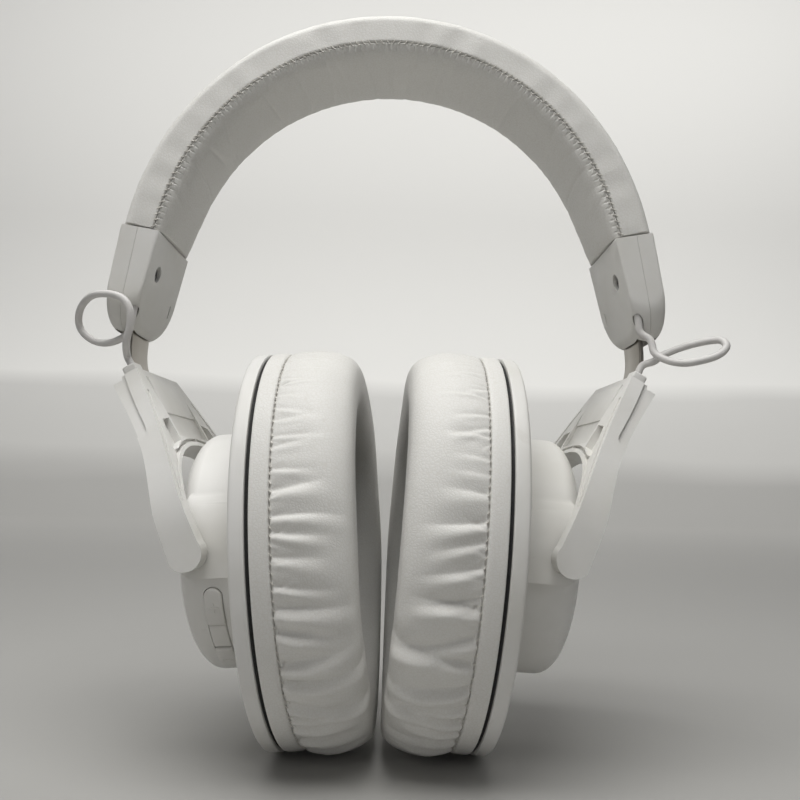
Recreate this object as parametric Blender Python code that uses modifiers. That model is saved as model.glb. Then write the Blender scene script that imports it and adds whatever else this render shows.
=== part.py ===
"""Wireless closed-back over-ear headphones, standing on the bottoms of the ear cups.

X runs from the left cup to the right, -Y is the front, +Z is up. Lengths below are in
millimetres and become metres as the meshes are made. One side is built once, and the
left side is its mirror image.
"""

import math

import bmesh
import bpy
from mathutils import Matrix, Vector

MM = 0.001
GAP = 0.3  # kept between neighbouring pieces

# Ear cup, in its own frame: x to the back, y up, z outward, origin on the pad's seat.
CUP_HEIGHT = 51.2  # of the cup's centre above the floor
CUP_X = 25.65
CUP_TILT = math.radians(4.2)  # the cups' lower ends lean together
CUP_TOE = math.radians(3.0)  # and their front edges open outward
OVAL = 0.864  # depth of the oval over its height
RIM_R = 51.0
DRUM_R = 30.4
DRUM_TOP = 21.1
DRUM_WALL = 2.2
DRUM_EDGE = (8.5, 4.6)  # of its rounded outer edge, inward and down
DISC_R = 20.8
PAD_R = 50.9
PAD_HOLE_R = 30.0
PAD_FACE = -22.9
DRIVER_R = 20.2
BOSS_FACE = 31.0
PIVOT_UP = 1.6
PIVOT_OUT = 16.0
PIN_R = 1.6

# Keys round the left drum: first and last angle below the front, and the row's place.
KEY_ANGLES = {
    "key_volume_up": (13.0, 30.0),
    "key_function": (31.6, 44.4),
    "key_volume_down": (46.0, 63.0),
}
KEY_LOW, KEY_HIGH = 9.6, 13.8
KEY_PROUD = 0.8

# Yoke, in its own frame: x to the back, y up along its lean, z outward, origin at its top.
YOKE_LEAN = math.radians(29.4)
YOKE_LENGTH = 49.3
YOKE_STEP_LEAN = 0.6
YOKE_OUTSIDE = [
    (15.6, 0), (19.2, 6), (22.6, 12), (27.4, 20), (31.4, 27),
    (34.4, 34), (35.9, 40), (36.3, 46), (36.4, 56),
]
YOKE_INSIDE = [
    (31.5, 56), (31.5, 47), (31.45, 41), (29.2, 35.5), (24.3, 29.8),
    (16.8, 25.6), (8.4, 23.2), (0, 22.5),
]
YOKE_OUTER_EDGE = [(0, 3.9), (10, 2.0), (18, 0.8), (24, 0.4), (30, 1.0), (38, 2.5)]
YOKE_INNER_EDGE = [(38, -4.5), (30, -5.0), (22, -5.1), (12, -4.7), (0, -3.9)]
ARM_END_R = 4.1

# End cap, in its own frame: x to the back, y up, z outward, origin at its top.
BAND_W = 29.0
CAP_TOP = (64.7, 82.0)
CAP_LEAN = math.radians(9.5)
CAP_LENGTH = 27.5
CAP_THICK = 8.9
CAP_CORNER = 10.0
CAP_BULGE = 3.6  # the lower end is rounded across its thickness
CAP_WEDGE = (1.3, 20.0)  # thicker at the inner top by this much, down to none this far below
CAP_EDGE = [(0, 0.4), (0.12, 0.12), (0.4, 0), (1.0, 0), (2.2, 0)]  # (below the face, inset)
CAP_SLOT = 8.0
SCREW_AT = (-6.5, -9.9)

# Slider strip: straight where it slides, then bent inward along the yoke
SLIDE_LEAN = math.radians(5.5)
SLIDE_AT = (67.7, 54.0)
STRIP_W = 14.0
STRIP_T = 1.2
STRIP_UP = 33.5
STRIP_BEND = [(0, 0), (0.1, -3.4), (-0.35, -6.6), (-1.5, -9.6), (-3.0, -12.4)]
STRIP_TAIL = 7.0

# Headband arch, a polar curve about a point above the cups
ARCH_CENTRE = 45.9
ARCH_R = (84.6, -12.15, -0.62)
ARCH_START = 28.6
ARCH_STEPS = 30
COVER_T = 7.7
PAD_T = 2.4
PAD_CROWN = 1.9

# Link cord: its hole in the end cap and in the yoke (across, outward), and the free
# route between them as (outward, depth, height above the cup's centre).
CORD_R = 0.95
CAP_CORD = (-12.5, -3.0)
YOKE_CORD = (-12.8, -2.2)
CABLE_TOP = 1.8  # the cable channel stands this far above the rest of the yoke
LEFT_LOOP = [
    (68.1, -9.0, 54.4), (72.9, -6.6, 52.8), (77.7, -4.6, 53.3), (81.7, -3.4, 55.9),
    (82.7, -4.4, 59.1), (80.6, -8.0, 62.2), (76.2, -12.8, 63.9), (71.0, -16.2, 63.7),
    (66.6, -17.4, 62.3), (64.6, -17.6, 59.4), (64.6, -16.8, 55.4), (65.9, -15.0, 51.6),
]
RIGHT_LOOP = [
    (68.1, -13.6, 54.6), (68.8, -14.6, 51.2), (71.3, -16.6, 49.0), (75.0, -18.8, 48.0),
    (79.5, -20.6, 48.7), (82.8, -21.0, 50.0), (84.9, -20.2, 52.1), (84.6, -18.4, 53.9),
    (82.6, -16.2, 54.3), (79.1, -13.4, 53.8), (75.7, -11.6, 52.8), (71.9, -11.0, 51.1),
    (69.3, -12.0, 49.3),
]


def clear_scene():
    for obj in list(bpy.data.objects):
        bpy.data.objects.remove(obj, do_unlink=True)


def collection(name):
    made = bpy.data.collections.new(name)
    bpy.context.scene.collection.children.link(made)
    return made


def material(name, colour, roughness, metallic=0.0):
    made = bpy.data.materials.new(name)
    made.use_nodes = True
    shader = made.node_tree.nodes["Principled BSDF"]
    shader.inputs["Base Color"].default_value = (*colour, 1)
    shader.inputs["Roughness"].default_value = roughness
    shader.inputs["Metallic"].default_value = metallic
    made.diffuse_color = (*colour, 1)
    return made


def mesh_object(name, bm):
    bmesh.ops.recalc_face_normals(bm, faces=bm.faces)
    if bm.calc_volume(signed=True) < 0:
        bmesh.ops.reverse_faces(bm, faces=bm.faces)
    mesh = bpy.data.meshes.new(name)
    bm.to_mesh(mesh)
    bm.free()
    obj = bpy.data.objects.new(name, mesh)
    bpy.context.scene.collection.objects.link(obj)
    return obj


def bake(obj):
    """Turns the object, with its modifiers, into a plain mesh with its faces outward."""
    bpy.context.view_layer.update()
    graph = bpy.context.evaluated_depsgraph_get()
    mesh = bpy.data.meshes.new_from_object(obj.evaluated_get(graph))
    bm = bmesh.new()
    bm.from_mesh(mesh)
    bmesh.ops.remove_doubles(bm, verts=bm.verts, dist=0.00001)
    bmesh.ops.dissolve_degenerate(bm, dist=0.000005, edges=bm.edges)
    bpy.data.meshes.remove(mesh)
    name, matrix = obj.name, obj.matrix_world.copy()
    bpy.data.objects.remove(obj, do_unlink=True)
    made = mesh_object(name, bm)
    made.name = name
    made.matrix_world = matrix
    return made


def boolean(obj, cutter, operation="DIFFERENCE"):
    """Cuts or joins, bakes the result and removes the cutter."""
    modifier = obj.modifiers.new("cut", "BOOLEAN")
    modifier.operation = operation
    modifier.object = cutter
    modifier.solver = "EXACT"
    made = bake(obj)
    bpy.data.objects.remove(cutter, do_unlink=True)
    return made


def bevel(obj, width, segments=2, angle=40):
    modifier = obj.modifiers.new("bevel", "BEVEL")
    modifier.width = width * MM
    modifier.segments = segments
    modifier.limit_method = "ANGLE"
    modifier.angle_limit = math.radians(angle)
    return bake(obj)


def box(name, low, high):
    bm = bmesh.new()
    bmesh.ops.create_cube(bm, size=1)
    size = [b - a for a, b in zip(low, high)]
    mid = [(a + b) / 2 for a, b in zip(low, high)]
    bmesh.ops.scale(bm, vec=[s * MM for s in size], verts=bm.verts)
    bmesh.ops.translate(bm, vec=[m * MM for m in mid], verts=bm.verts)
    return mesh_object(name, bm)


def rod(name, radius, start, end, sides=24):
    """A cylinder between two points."""
    a, b = Vector(start) * MM, Vector(end) * MM
    bm = bmesh.new()
    bmesh.ops.create_cone(
        bm, cap_ends=True, segments=sides, radius1=radius * MM, radius2=radius * MM,
        depth=(b - a).length,
    )
    turn = (b - a).to_track_quat("Z", "Y").to_matrix().to_4x4()
    bmesh.ops.transform(bm, matrix=Matrix.Translation((a + b) / 2) @ turn, verts=bm.verts)
    return mesh_object(name, bm)


def plate(name, outline, low, high):
    """A flat outline in x and y, from one z to another."""
    bm = bmesh.new()
    face = bm.faces.new([bm.verts.new((x * MM, y * MM, low * MM)) for x, y in outline])
    grown = bmesh.ops.extrude_face_region(bm, geom=[face])
    verts = [e for e in grown["geom"] if isinstance(e, bmesh.types.BMVert)]
    bmesh.ops.translate(bm, vec=(0, 0, (high - low) * MM), verts=verts)
    return mesh_object(name, bm)


def turned(name, profile, sides, oval=1.0, ring=False):
    """A profile of radius and height turned about z, then pressed into an oval along x."""
    mesh = bpy.data.meshes.new(name)
    edges = [(i, i + 1) for i in range(len(profile) - 1)]
    if ring:
        edges.append((len(profile) - 1, 0))
    mesh.from_pydata([(r * MM, 0, z * MM) for r, z in profile], edges, [])
    obj = bpy.data.objects.new(name, mesh)
    bpy.context.scene.collection.objects.link(obj)
    screw = obj.modifiers.new("turn", "SCREW")
    screw.axis = "Z"
    screw.steps = screw.render_steps = sides
    screw.use_merge_vertices = True
    screw.merge_threshold = 0.00001
    made = bake(obj)
    for vertex in made.data.vertices:
        vertex.co.x *= oval
    return made


def arc(centre, radius, first, last, steps):
    return [
        (
            centre[0] + radius * math.cos(math.radians(first + (last - first) * i / steps)),
            centre[1] + radius * math.sin(math.radians(first + (last - first) * i / steps)),
        )
        for i in range(steps + 1)
    ]


def smooth_line(points, steps):
    """Points along a Catmull-Rom curve through the given ones."""
    points = [Vector(p) for p in points]
    ends = [2 * points[0] - points[1], *points, 2 * points[-1] - points[-2]]
    made = []
    for i in range(1, len(ends) - 2):
        a, b, c, d = ends[i - 1 : i + 3]
        for k in range(steps):
            t = k / steps
            made.append(
                0.5 * (2 * b + (c - a) * t + (2 * a - 5 * b + 4 * c - d) * t * t
                       + (3 * b - a - 3 * c + d) * t ** 3)
            )
    return [*made, points[-1]]


def sector(name, inner, outer, low, high, first, last, steps=6):
    """A block bent round z: between two radii, two heights and two angles below the front."""
    bm = bmesh.new()
    bmesh.ops.create_cube(bm, size=1)
    along = [e for e in bm.edges if abs(e.verts[0].co.y - e.verts[1].co.y) > 0.5]
    bmesh.ops.subdivide_edges(bm, edges=along, cuts=steps - 1, use_grid_fill=True)
    for vertex in bm.verts:
        x, y, z = vertex.co
        radius = (inner + outer) / 2 + x * (outer - inner)
        angle = math.radians((first + last) / 2 + y * (last - first))
        height = (low + high) / 2 + z * (high - low)
        vertex.co = (
            -radius * math.cos(angle) * MM, -radius * math.sin(angle) * MM, height * MM,
        )
    return mesh_object(name, bm)


def swept(name, path, sections):
    """A closed section for each point of a path: its first number goes along Y, its second inward."""
    bm = bmesh.new()
    rings = []
    for i, point in enumerate(path):
        ahead = path[min(i + 1, len(path) - 1)] - path[max(i - 1, 0)]
        inward = Vector((-ahead.z, 0, ahead.x)).normalized()
        rings.append(
            [bm.verts.new((point + Vector((0, y, 0)) + inward * t) * MM) for y, t in sections[i]]
        )
    count = len(rings[0])
    for one, two in zip(rings, rings[1:]):
        for k in range(count):
            n = (k + 1) % count
            bm.faces.new((one[k], one[n], two[n], two[k]))
    bm.faces.new(rings[0])
    bm.faces.new(reversed(rings[-1]))
    return mesh_object(name, bm)


def tube(name, points, radius):
    """A round wire through the points, with closed ends."""
    curve = bpy.data.curves.new(name, "CURVE")
    curve.dimensions = "3D"
    curve.bevel_depth = radius * MM
    curve.bevel_resolution = 2
    curve.use_fill_caps = True
    spline = curve.splines.new("POLY")
    spline.points.add(len(points) - 1)
    for place, point in zip(spline.points, points):
        place.co = (*(Vector(point) * MM), 1)
    obj = bpy.data.objects.new(name, curve)
    bpy.context.scene.collection.objects.link(obj)
    return bake(obj)


def frame(origin, x_axis, y_axis, z_axis):
    """The matrix that carries a local frame, in metres, to the world."""
    turn = Matrix((x_axis, y_axis, z_axis)).transposed().to_4x4()
    return Matrix.Translation(Vector(origin) * MM) @ turn


# Frames of the right side -------------------------------------------------------------

DEPTH = Vector((-math.sin(CUP_TOE), math.cos(CUP_TOE), 0))
LEVEL = Vector((math.cos(CUP_TOE), math.sin(CUP_TOE), 0))
UP = Vector((0, 0, 1))

CUP_FRAME = frame(
    (CUP_X, 0, CUP_HEIGHT),
    DEPTH,
    LEVEL * math.sin(CUP_TILT) + UP * math.cos(CUP_TILT),
    LEVEL * math.cos(CUP_TILT) - UP * math.sin(CUP_TILT),
)
PIVOT = CUP_FRAME @ (Vector((0, PIVOT_UP, PIVOT_OUT)) * MM) / MM
YOKE_UP = LEVEL * math.sin(YOKE_LEAN) + UP * math.cos(YOKE_LEAN)
YOKE_OUT = LEVEL * math.cos(YOKE_LEAN) - UP * math.sin(YOKE_LEAN)
YOKE_FRAME = frame(PIVOT + YOKE_UP * YOKE_LENGTH, DEPTH, YOKE_UP, YOKE_OUT)
CAP_UP = Vector((-math.sin(CAP_LEAN), 0, math.cos(CAP_LEAN)))
CAP_OUT = Vector((math.cos(CAP_LEAN), 0, math.sin(CAP_LEAN)))
CAP_FRAME = frame(
    (CAP_TOP[0], 0, CAP_TOP[1] + CUP_HEIGHT), Vector((0, 1, 0)), CAP_UP, CAP_OUT
)
SLIDE_UP = Vector((-math.sin(SLIDE_LEAN), 0, math.cos(SLIDE_LEAN)))
SLIDE_OUT = Vector((math.cos(SLIDE_LEAN), 0, math.sin(SLIDE_LEAN)))
SLIDE_FRAME = frame(
    (SLIDE_AT[0], 0, SLIDE_AT[1] + CUP_HEIGHT), Vector((0, 1, 0)), SLIDE_UP, SLIDE_OUT
)


def place(obj, matrix):
    """Carries a piece from its own frame to the world, in its mesh."""
    obj.data.transform(matrix)
    obj.matrix_world = Matrix()
    return obj


# Ear cup ------------------------------------------------------------------------------

def housing(name, keys):
    rim = turned(
        name,
        [(0, 0.75), (50.2, 0.75), (RIM_R, 1.5), (RIM_R, 3.5), (50.1, 4.4), (45, 5.2),
         (36, 5.9), (0, 5.9)],
        48, OVAL,
    )
    wide, deep = DRUM_EDGE
    edge = [
        (DRUM_R - wide + wide * math.cos(a), DRUM_TOP - deep + deep * math.sin(a))
        for a in (math.radians(22.5 * i) for i in range(5))
    ]
    drum = turned("drum", [(0, 3.0), (DRUM_R, 3.0), *edge, (0, DRUM_TOP)], 48)
    body = boolean(rim, drum, "UNION")
    for side in (-1, 1):
        outline = [
            *arc((15.6, -1.6), 3.0, -90, 0, 4), *arc((16.6, 5.6), 2.0, 0, 90, 2),
            (6.8, 7.6), (6.8, -4.6),
        ]
        boss = plate("boss", outline, 24.0, BOSS_FACE)
        turn = Matrix(((0, 0, side, 0), (0, 1, 0, 0), (1, 0, 0, 0), (0, 0, 0, 1)))
        boss.data.transform(turn)
        if turn.determinant() < 0:
            boss.data.flip_normals()
        body = boolean(body, boss, "UNION")
    inside = DRUM_R - DRUM_WALL
    cavity = turned(
        "cavity",
        [(0, -1), (inside, -1), (inside, 15.1), (inside - 2, 17.3), (inside - 5, 18.7),
         (0, 18.7)],
        36,
    )
    body = boolean(body, cavity)
    body = boolean(body, turned("seat", [(0, -1), (44.0, -1), (44.0, 2.7), (0, 2.7)], 40, OVAL))
    recess = turned("recess", [(0, 20.0), (DISC_R + 0.4, 20.0), (DISC_R + 0.4, 23), (0, 23)], 36)
    body = boolean(body, recess)
    for side in (-1, 1):
        bore = rod(
            "bore", PIN_R + GAP,
            (side * 29.0, PIVOT_UP, PIVOT_OUT), (side * 33.0, PIVOT_UP, PIVOT_OUT),
        )
        body = boolean(body, bore)
    if keys:
        for first, last in KEY_ANGLES.values():
            slot = sector("slot", 26, 33, KEY_LOW - 0.35, KEY_HIGH + 0.35,
                          first - 0.65, last + 0.65)
            body = boolean(body, slot)
        body = boolean(body, box("port", (-4.6, -34, 7.2), (4.6, -26, 10.8)))
    return body


def ear_pad(name):
    profile = [
        (50.9, -0.65), (50.4, -4.85), (50.9, -8.6), (PAD_R, -13.0), (49.9, -18.2),
        (47.6, -21.6), (44.2, PAD_FACE), (39.0, PAD_FACE), (34.0, -21.2),
        (31.0, -17.4), (PAD_HOLE_R, -12.0), (PAD_HOLE_R, -0.65),
    ]
    return turned(name, profile, 40, OVAL, ring=True)


def flatten_pad(obj):
    """Where the two pads press on each other, each stays on its own side."""
    for vertex in obj.data.vertices:
        vertex.co.x = max(vertex.co.x, 0.35 * MM)
    return obj


def cup_pieces():
    """What both cups hold, in the cup's frame."""
    made = {
        "gasket": turned("gasket", [(44.4, -0.35), (RIM_R, -0.35), (RIM_R, 0.45), (44.4, 0.45)],
                         40, OVAL, ring=True),
        "outer_disc": turned("outer_disc", [(0, 20.3), (DISC_R, 20.3), (DISC_R, 21.1),
                                            (DISC_R - 0.4, 21.5), (0, 21.5)], 36),
        "driver_frame": turned(
            "driver_frame",
            [(17.6, -0.3), (DRIVER_R, -0.3), (DRIVER_R, 4.4), (16.0, 5.4), (10.4, 5.4),
             (10.4, 4.4), (15.4, 4.2), (17.6, 2.6)],
            24, ring=True),
        "driver_diaphragm": turned(
            "driver_diaphragm",
            [(0, 0.9), (6, 0.5), (10, 1.3), (17.2, 0.2), (17.2, 0.6), (10, 1.7), (6, 0.9),
             (0, 1.3)],
            24),
        "driver_magnet": turned("driver_magnet", [(0, 5.8), (10.0, 5.8), (10.0, 11.6),
                                                  (9.2, 12.4), (0, 12.4)], 24),
        "driver_cloth": turned("driver_cloth", [(0, -1.3), (29.2, -1.3), (29.2, -0.8),
                                                (0, -0.8)], 32, OVAL),
    }
    baffle = turned("baffle", [(0, -0.35), (43.6, -0.35), (43.6, 2.3), (0, 2.3)], 40, OVAL)
    hole = turned("hole", [(0, -2), (DRIVER_R + 0.35, -2), (DRIVER_R + 0.35, 4), (0, 4)], 24)
    made["baffle"] = boolean(baffle, hole)
    return made


# Yoke and slider ----------------------------------------------------------------------

def yoke_outline():
    outside = [(x, -s) for x, s in ((p.x, p.y) for p in smooth_line(YOKE_OUTSIDE, 2))]
    inside = [(x, -s) for x, s in ((p.x, p.y) for p in smooth_line(YOKE_INSIDE, 2))]
    half = outside + inside
    return half + [(-x, y) for x, y in reversed(half[:-1])]


def yoke_profile():
    """Side view: position down the arm and place outward, as a closed line."""
    outer = [(p.x, p.y) for p in smooth_line(YOKE_OUTER_EDGE, 3)]
    inner = [(p.x, p.y) for p in smooth_line(YOKE_INNER_EDGE, 3)]
    end = arc((YOKE_LENGTH, 0), ARM_END_R, 75, -105, 9)
    return outer + end + inner


def yoke():
    fork = plate("yoke", yoke_outline(), -8, 8)
    lengthwise = plate("profile", [(-s, n) for s, n in yoke_profile()], -40, 40)
    turn = Matrix(((0, 0, 1, 0), (1, 0, 0, 0), (0, 1, 0, 0), (0, 0, 0, 1)))
    lengthwise.data.transform(turn)
    body = boolean(fork, lengthwise, "INTERSECT")
    # The front shoulder's outer half is set back behind the raised cable channel.
    step = box("step", (-60, -24, -0.1), (-14.0, 1, 9))
    for vertex in step.data.vertices:
        vertex.co.x += vertex.co.y * YOKE_STEP_LEAN
    body = boolean(body, step)
    # Pocket behind the inner cover, and the slot that the slider strip goes into.
    body = boolean(body, box("pocket", (-12.3, -20.3, -9), (12.3, -2.2, -2.6)))
    channel = bevel(box("channel", (-15.5, -1.9, -3.9), (-10.9, CABLE_TOP, -0.1)), 0.4, 1)
    body = boolean(body, channel, "UNION")
    body = boolean(body, rod(
        "cord_hole", CORD_R + GAP, (YOKE_CORD[0], 6, YOKE_CORD[1]),
        (YOKE_CORD[0], -6, YOKE_CORD[1]), 16))
    for side in (-1, 1):
        body = boolean(body, rod(
            "pin_hole", PIN_R + GAP, (side * 26, -YOKE_LENGTH, 0), (side * 35.3, -YOKE_LENGTH, 0)))
    return place(body, YOKE_FRAME)


def slider(name, spare=0.0):
    """The strip stands in the end cap above and is let into the yoke below."""
    start = Vector((SLIDE_AT[0], 0, SLIDE_AT[1] + CUP_HEIGHT))
    bend = [start + Vector((x, 0, z)) for x, z in STRIP_BEND]
    path = [start + SLIDE_UP * (STRIP_UP + spare), start + SLIDE_UP * 6, *bend,
            bend[-1] - YOKE_UP * (STRIP_TAIL + spare)]
    path = [Vector((p.x, 0, p.z)) for p in path]
    half, thick = STRIP_W / 2 + spare, STRIP_T / 2 + spare
    section = [(half, -thick), (half, thick), (-half, thick), (-half, -thick)]
    return swept(name, path, [section] * len(path))


# End cap ------------------------------------------------------------------------------

def cap_outline(lift, inset):
    """The cap seen from outside: straight at the top, with both lower corners rounded."""
    half = BAND_W / 2 - inset
    low = -CAP_LENGTH + CAP_CORNER + lift
    inner = BAND_W / 2 - CAP_CORNER
    return [
        (half, -inset), *arc((inner, low), CAP_CORNER - inset, 0, -90, 7),
        *arc((-inner, low), CAP_CORNER - inset, -90, -180, 7), (-half, -inset),
    ]


def cap_body():
    """The whole cap, in slices from its inner face to its outer face."""
    thick = CAP_THICK / 2
    levels = [(-thick + below, inset) for below, inset in CAP_EDGE]
    levels += [(0, 0)] + [(-z, inset) for z, inset in reversed(levels)]
    most, run = CAP_WEDGE
    bm = bmesh.new()
    rings = []
    for z, inset in levels:
        lift = CAP_BULGE * (1 - math.sqrt(1 - (0.98 * z / thick) ** 2))
        inward = max(-z / thick, 0)
        rings.append([
            bm.verts.new((x * MM, y * MM, (z - most * (1 + y / run) * inward) * MM))
            for x, y in cap_outline(lift, inset)
        ])
    count = len(rings[0])
    for one, two in zip(rings, rings[1:]):
        for k in range(count):
            n = (k + 1) % count
            bm.faces.new((one[k], one[n], two[n], two[k]))
    bm.faces.new(rings[0])
    bm.faces.new(reversed(rings[-1]))
    return mesh_object("cap", bm)


def end_cap(name, outward):
    low, high = (0.08, 8) if outward else (-8, -0.22)
    body = boolean(cap_body(), box("half", (-20, -40, low), (20, 5, high)), "INTERSECT")
    body.name = name
    slot = box("slot", (-CAP_SLOT, -40, -2.7), (CAP_SLOT, 3, 2.7))
    body = boolean(body, slot)
    if outward:
        return body
    x, y = SCREW_AT
    cable = rod("cable", CORD_R + GAP, (CAP_CORD[0], -15, CAP_CORD[1]),
                (CAP_CORD[0], -40, CAP_CORD[1]), 16)
    body = boolean(body, cable)
    body = boolean(body, rod("head", 2.2, (x, y, -7), (x, y, -3.6)))
    body = boolean(body, rod("shank", 1.15, (x, y, -4), (x, y, 2), 16))
    return boolean(body, box("slit", (9.9, -18.6, -6), (10.7, -14.9, -3.9)))


def link_cord(name, loop):
    """From its hole in the end cap, round the free loop, into its hole in the yoke."""
    def at(matrix, hole, y):
        return matrix @ (Vector((hole[0], y, hole[1])) * MM) / MM

    free = [Vector((x, y, z + CUP_HEIGHT)) for x, y, z in loop]
    route = [
        at(CAP_FRAME, CAP_CORD, -18.0), at(CAP_FRAME, CAP_CORD, -22.0),
        at(CAP_FRAME, CAP_CORD, -25.0), *free,
        at(YOKE_FRAME, YOKE_CORD, 4.6), at(YOKE_FRAME, YOKE_CORD, 1.6),
        at(YOKE_FRAME, YOKE_CORD, -3.4),
    ]
    return tube(name, smooth_line(route, 2), CORD_R)


# Headband -----------------------------------------------------------------------------

def arch_point(degrees):
    a = math.radians(degrees)
    radius = ARCH_R[0] + ARCH_R[1] * math.cos(2 * a) + ARCH_R[2] * math.cos(4 * a)
    return Vector((radius * math.cos(a), 0, CUP_HEIGHT + ARCH_CENTRE + radius * math.sin(a)))


def arch(start, steps):
    return [arch_point(start + (180 - 2 * start) * i / steps) for i in range(steps + 1)]


def headband_pieces():
    half = BAND_W / 2
    cover_section = [
        (half, COVER_T), (half, 2.4), (half - 0.7, 0.8), (half - 2.6, 0), (0, -0.35),
        (2.6 - half, 0), (0.7 - half, 0.8), (-half, 2.4), (-half, COVER_T),
        (2.4 - half, COVER_T), (2.4 - half, 2.2), (half - 2.4, 2.2), (half - 2.4, COVER_T),
    ]
    low = COVER_T + GAP

    def pad_section(i):
        """The cushion thins out towards both ends of the arch."""
        swell = min(1.0, min(i, ARCH_STEPS - i) / 3 + 0.35)
        depth = PAD_T + PAD_CROWN * swell
        return [
            (half - 0.5, low), (half - 0.9, low + 0.6 * PAD_T), (half - 3.2, low + PAD_T),
            (half * 0.42, low + depth * 0.93), (0, low + depth),
            (-half * 0.42, low + depth * 0.93), (3.2 - half, low + PAD_T),
            (0.9 - half, low + 0.6 * PAD_T), (0.5 - half, low),
        ]

    path = arch(ARCH_START, ARCH_STEPS)
    pad_path = arch(ARCH_START + 0.4, ARCH_STEPS)
    spring_path = arch(ARCH_START + 12, 20)
    spring_section = [(8.0, 3.4), (-8.0, 3.4), (-8.0, 4.6), (8.0, 4.6)]
    return {
        "headband_cover": swept("headband_cover", path, [cover_section] * len(path)),
        "headband_pad": swept("headband_pad", pad_path, [pad_section(i) for i in range(len(pad_path))]),
        "headband_spring": swept("headband_spring", spring_path, [spring_section] * len(spring_path)),
    }


# The whole ----------------------------------------------------------------------------

def materials():
    """Each piece's material by its name; the rest are white plastic."""
    leather = material("white_leather", (0.82, 0.81, 0.78), 0.55)
    steel = material("slider_steel", (0.45, 0.43, 0.39), 0.35, 1.0)
    black = material("black_foam", (0.02, 0.02, 0.02), 0.8)
    dark = material("dark_metal", (0.12, 0.12, 0.13), 0.35, 1.0)
    return {
        "headband_cover": leather,
        "headband_pad": leather,
        "ear_pad": leather,
        "headband_spring": steel,
        "slider": steel,
        "charging_socket": steel,
        "gasket": black,
        "driver_frame": black,
        "driver_magnet": dark,
        "end_cap_screw": dark,
        "detent_spring": dark,
        "pivot_pin_front": dark,
        "pivot_pin_rear": dark,
        "driver_cloth": material("driver_cloth", (0.05, 0.05, 0.05), 0.9),
        "driver_diaphragm": material("diaphragm_film", (0.55, 0.55, 0.52), 0.3),
        "circuit_board": material("board_green", (0.02, 0.12, 0.06), 0.5),
        "battery": material("battery_wrap", (0.25, 0.26, 0.28), 0.4),
    }


def shared_pieces():
    """What both sides hold, built at the right: each piece by its name, with its joint."""
    pieces = {}
    for name, obj in cup_pieces().items():
        pieces[name] = ("cup", place(obj, CUP_FRAME))
    pieces["ear_pad"] = ("cup", flatten_pad(place(ear_pad("ear_pad"), CUP_FRAME)))
    for name, obj in arm_pieces().items():
        pieces[name] = ("arm", place(obj, CAP_FRAME))
    pieces["slider"] = ("fork", slider("slider"))
    pieces["yoke"] = ("fork", boolean(yoke(), slider("strip_space", GAP)))
    cover = box("yoke_cover", (-12.0, -20.0, -4.55), (12.0, -2.5, -3.4))
    pieces["yoke_cover"] = ("fork", place(cover, YOKE_FRAME))
    for name, side in (("pivot_pin_front", -1), ("pivot_pin_rear", 1)):
        pin = rod(name, PIN_R, (side * 29.4, -YOKE_LENGTH, 0), (side * 35.0, -YOKE_LENGTH, 0))
        pieces[name] = ("fork", place(pin, YOKE_FRAME))
    return pieces


def arm_pieces():
    """The end cap's pieces, in its own frame."""
    x, y = SCREW_AT
    head = rod("end_cap_screw", 1.9, (x, y, -4.3), (x, y, -3.9), 16)
    shaft = rod("shaft", 0.85, (x, y, -4.1), (x, y, -3.0), 12)
    return {
        "end_cap_outer": end_cap("end_cap_outer", True),
        "end_cap_inner": end_cap("end_cap_inner", False),
        "end_cap_screw": boolean(head, shaft, "UNION"),
        "detent_spring": box("detent_spring", (-3, -25, 1.9), (3, -16, 2.35)),
    }


def own_pieces(side):
    """What only this side holds, or holds in a shape of its own, built at the right."""
    left = side == "left"
    pieces = {
        "housing": ("cup", place(housing("housing", left), CUP_FRAME)),
        "link_cord": ("arm", link_cord("link_cord", LEFT_LOOP if left else RIGHT_LOOP)),
    }
    if not left:
        cell = box("battery", (-14, -9, 13.6), (14, 9, 18.4))
        pieces["battery"] = ("cup", place(cell, CUP_FRAME))
        return pieces
    for name, (first, last) in KEY_ANGLES.items():
        inner, outer = DRUM_R - DRUM_WALL + 0.4, DRUM_R + KEY_PROUD
        key = bevel(sector(name, inner, outer, KEY_LOW, KEY_HIGH, first, last), 0.25, 1, 50)
        pieces[name] = ("cup", place(key, CUP_FRAME))
    board = box("circuit_board", (-13, -19, 15.0), (13, 13, 16.2))
    pieces["circuit_board"] = ("cup", place(board, CUP_FRAME))
    socket = boolean(
        box("charging_socket", (-4.2, -30.6, 7.6), (4.2, -24.5, 10.4)),
        box("mouth", (-3.4, -31.5, 8.2), (3.4, -26.5, 9.8)),
    )
    pieces["charging_socket"] = ("cup", place(socket, CUP_FRAME))
    return pieces


def joint_empties(parts, side, flip):
    """Empties on the joints, each carrying the next: the arm, then the fork, then the cup."""
    points = {
        "arm": arch_point(90) * MM,
        "fork": SLIDE_FRAME.translation,
        "cup": PIVOT * MM,
    }
    made = {}
    parent = None
    for key, point in points.items():
        empty = bpy.data.objects.new(f"{side}_{key}_joint", None)
        parts.objects.link(empty)
        empty.parent = parent
        bpy.context.view_layer.update()
        turn = Matrix.Diagonal((flip, 1, 1, 1))
        empty.matrix_world = Matrix.Translation((flip * point.x, point.y, point.z)) @ turn
        bpy.context.view_layer.update()
        made[key] = parent = empty
    return made


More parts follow.
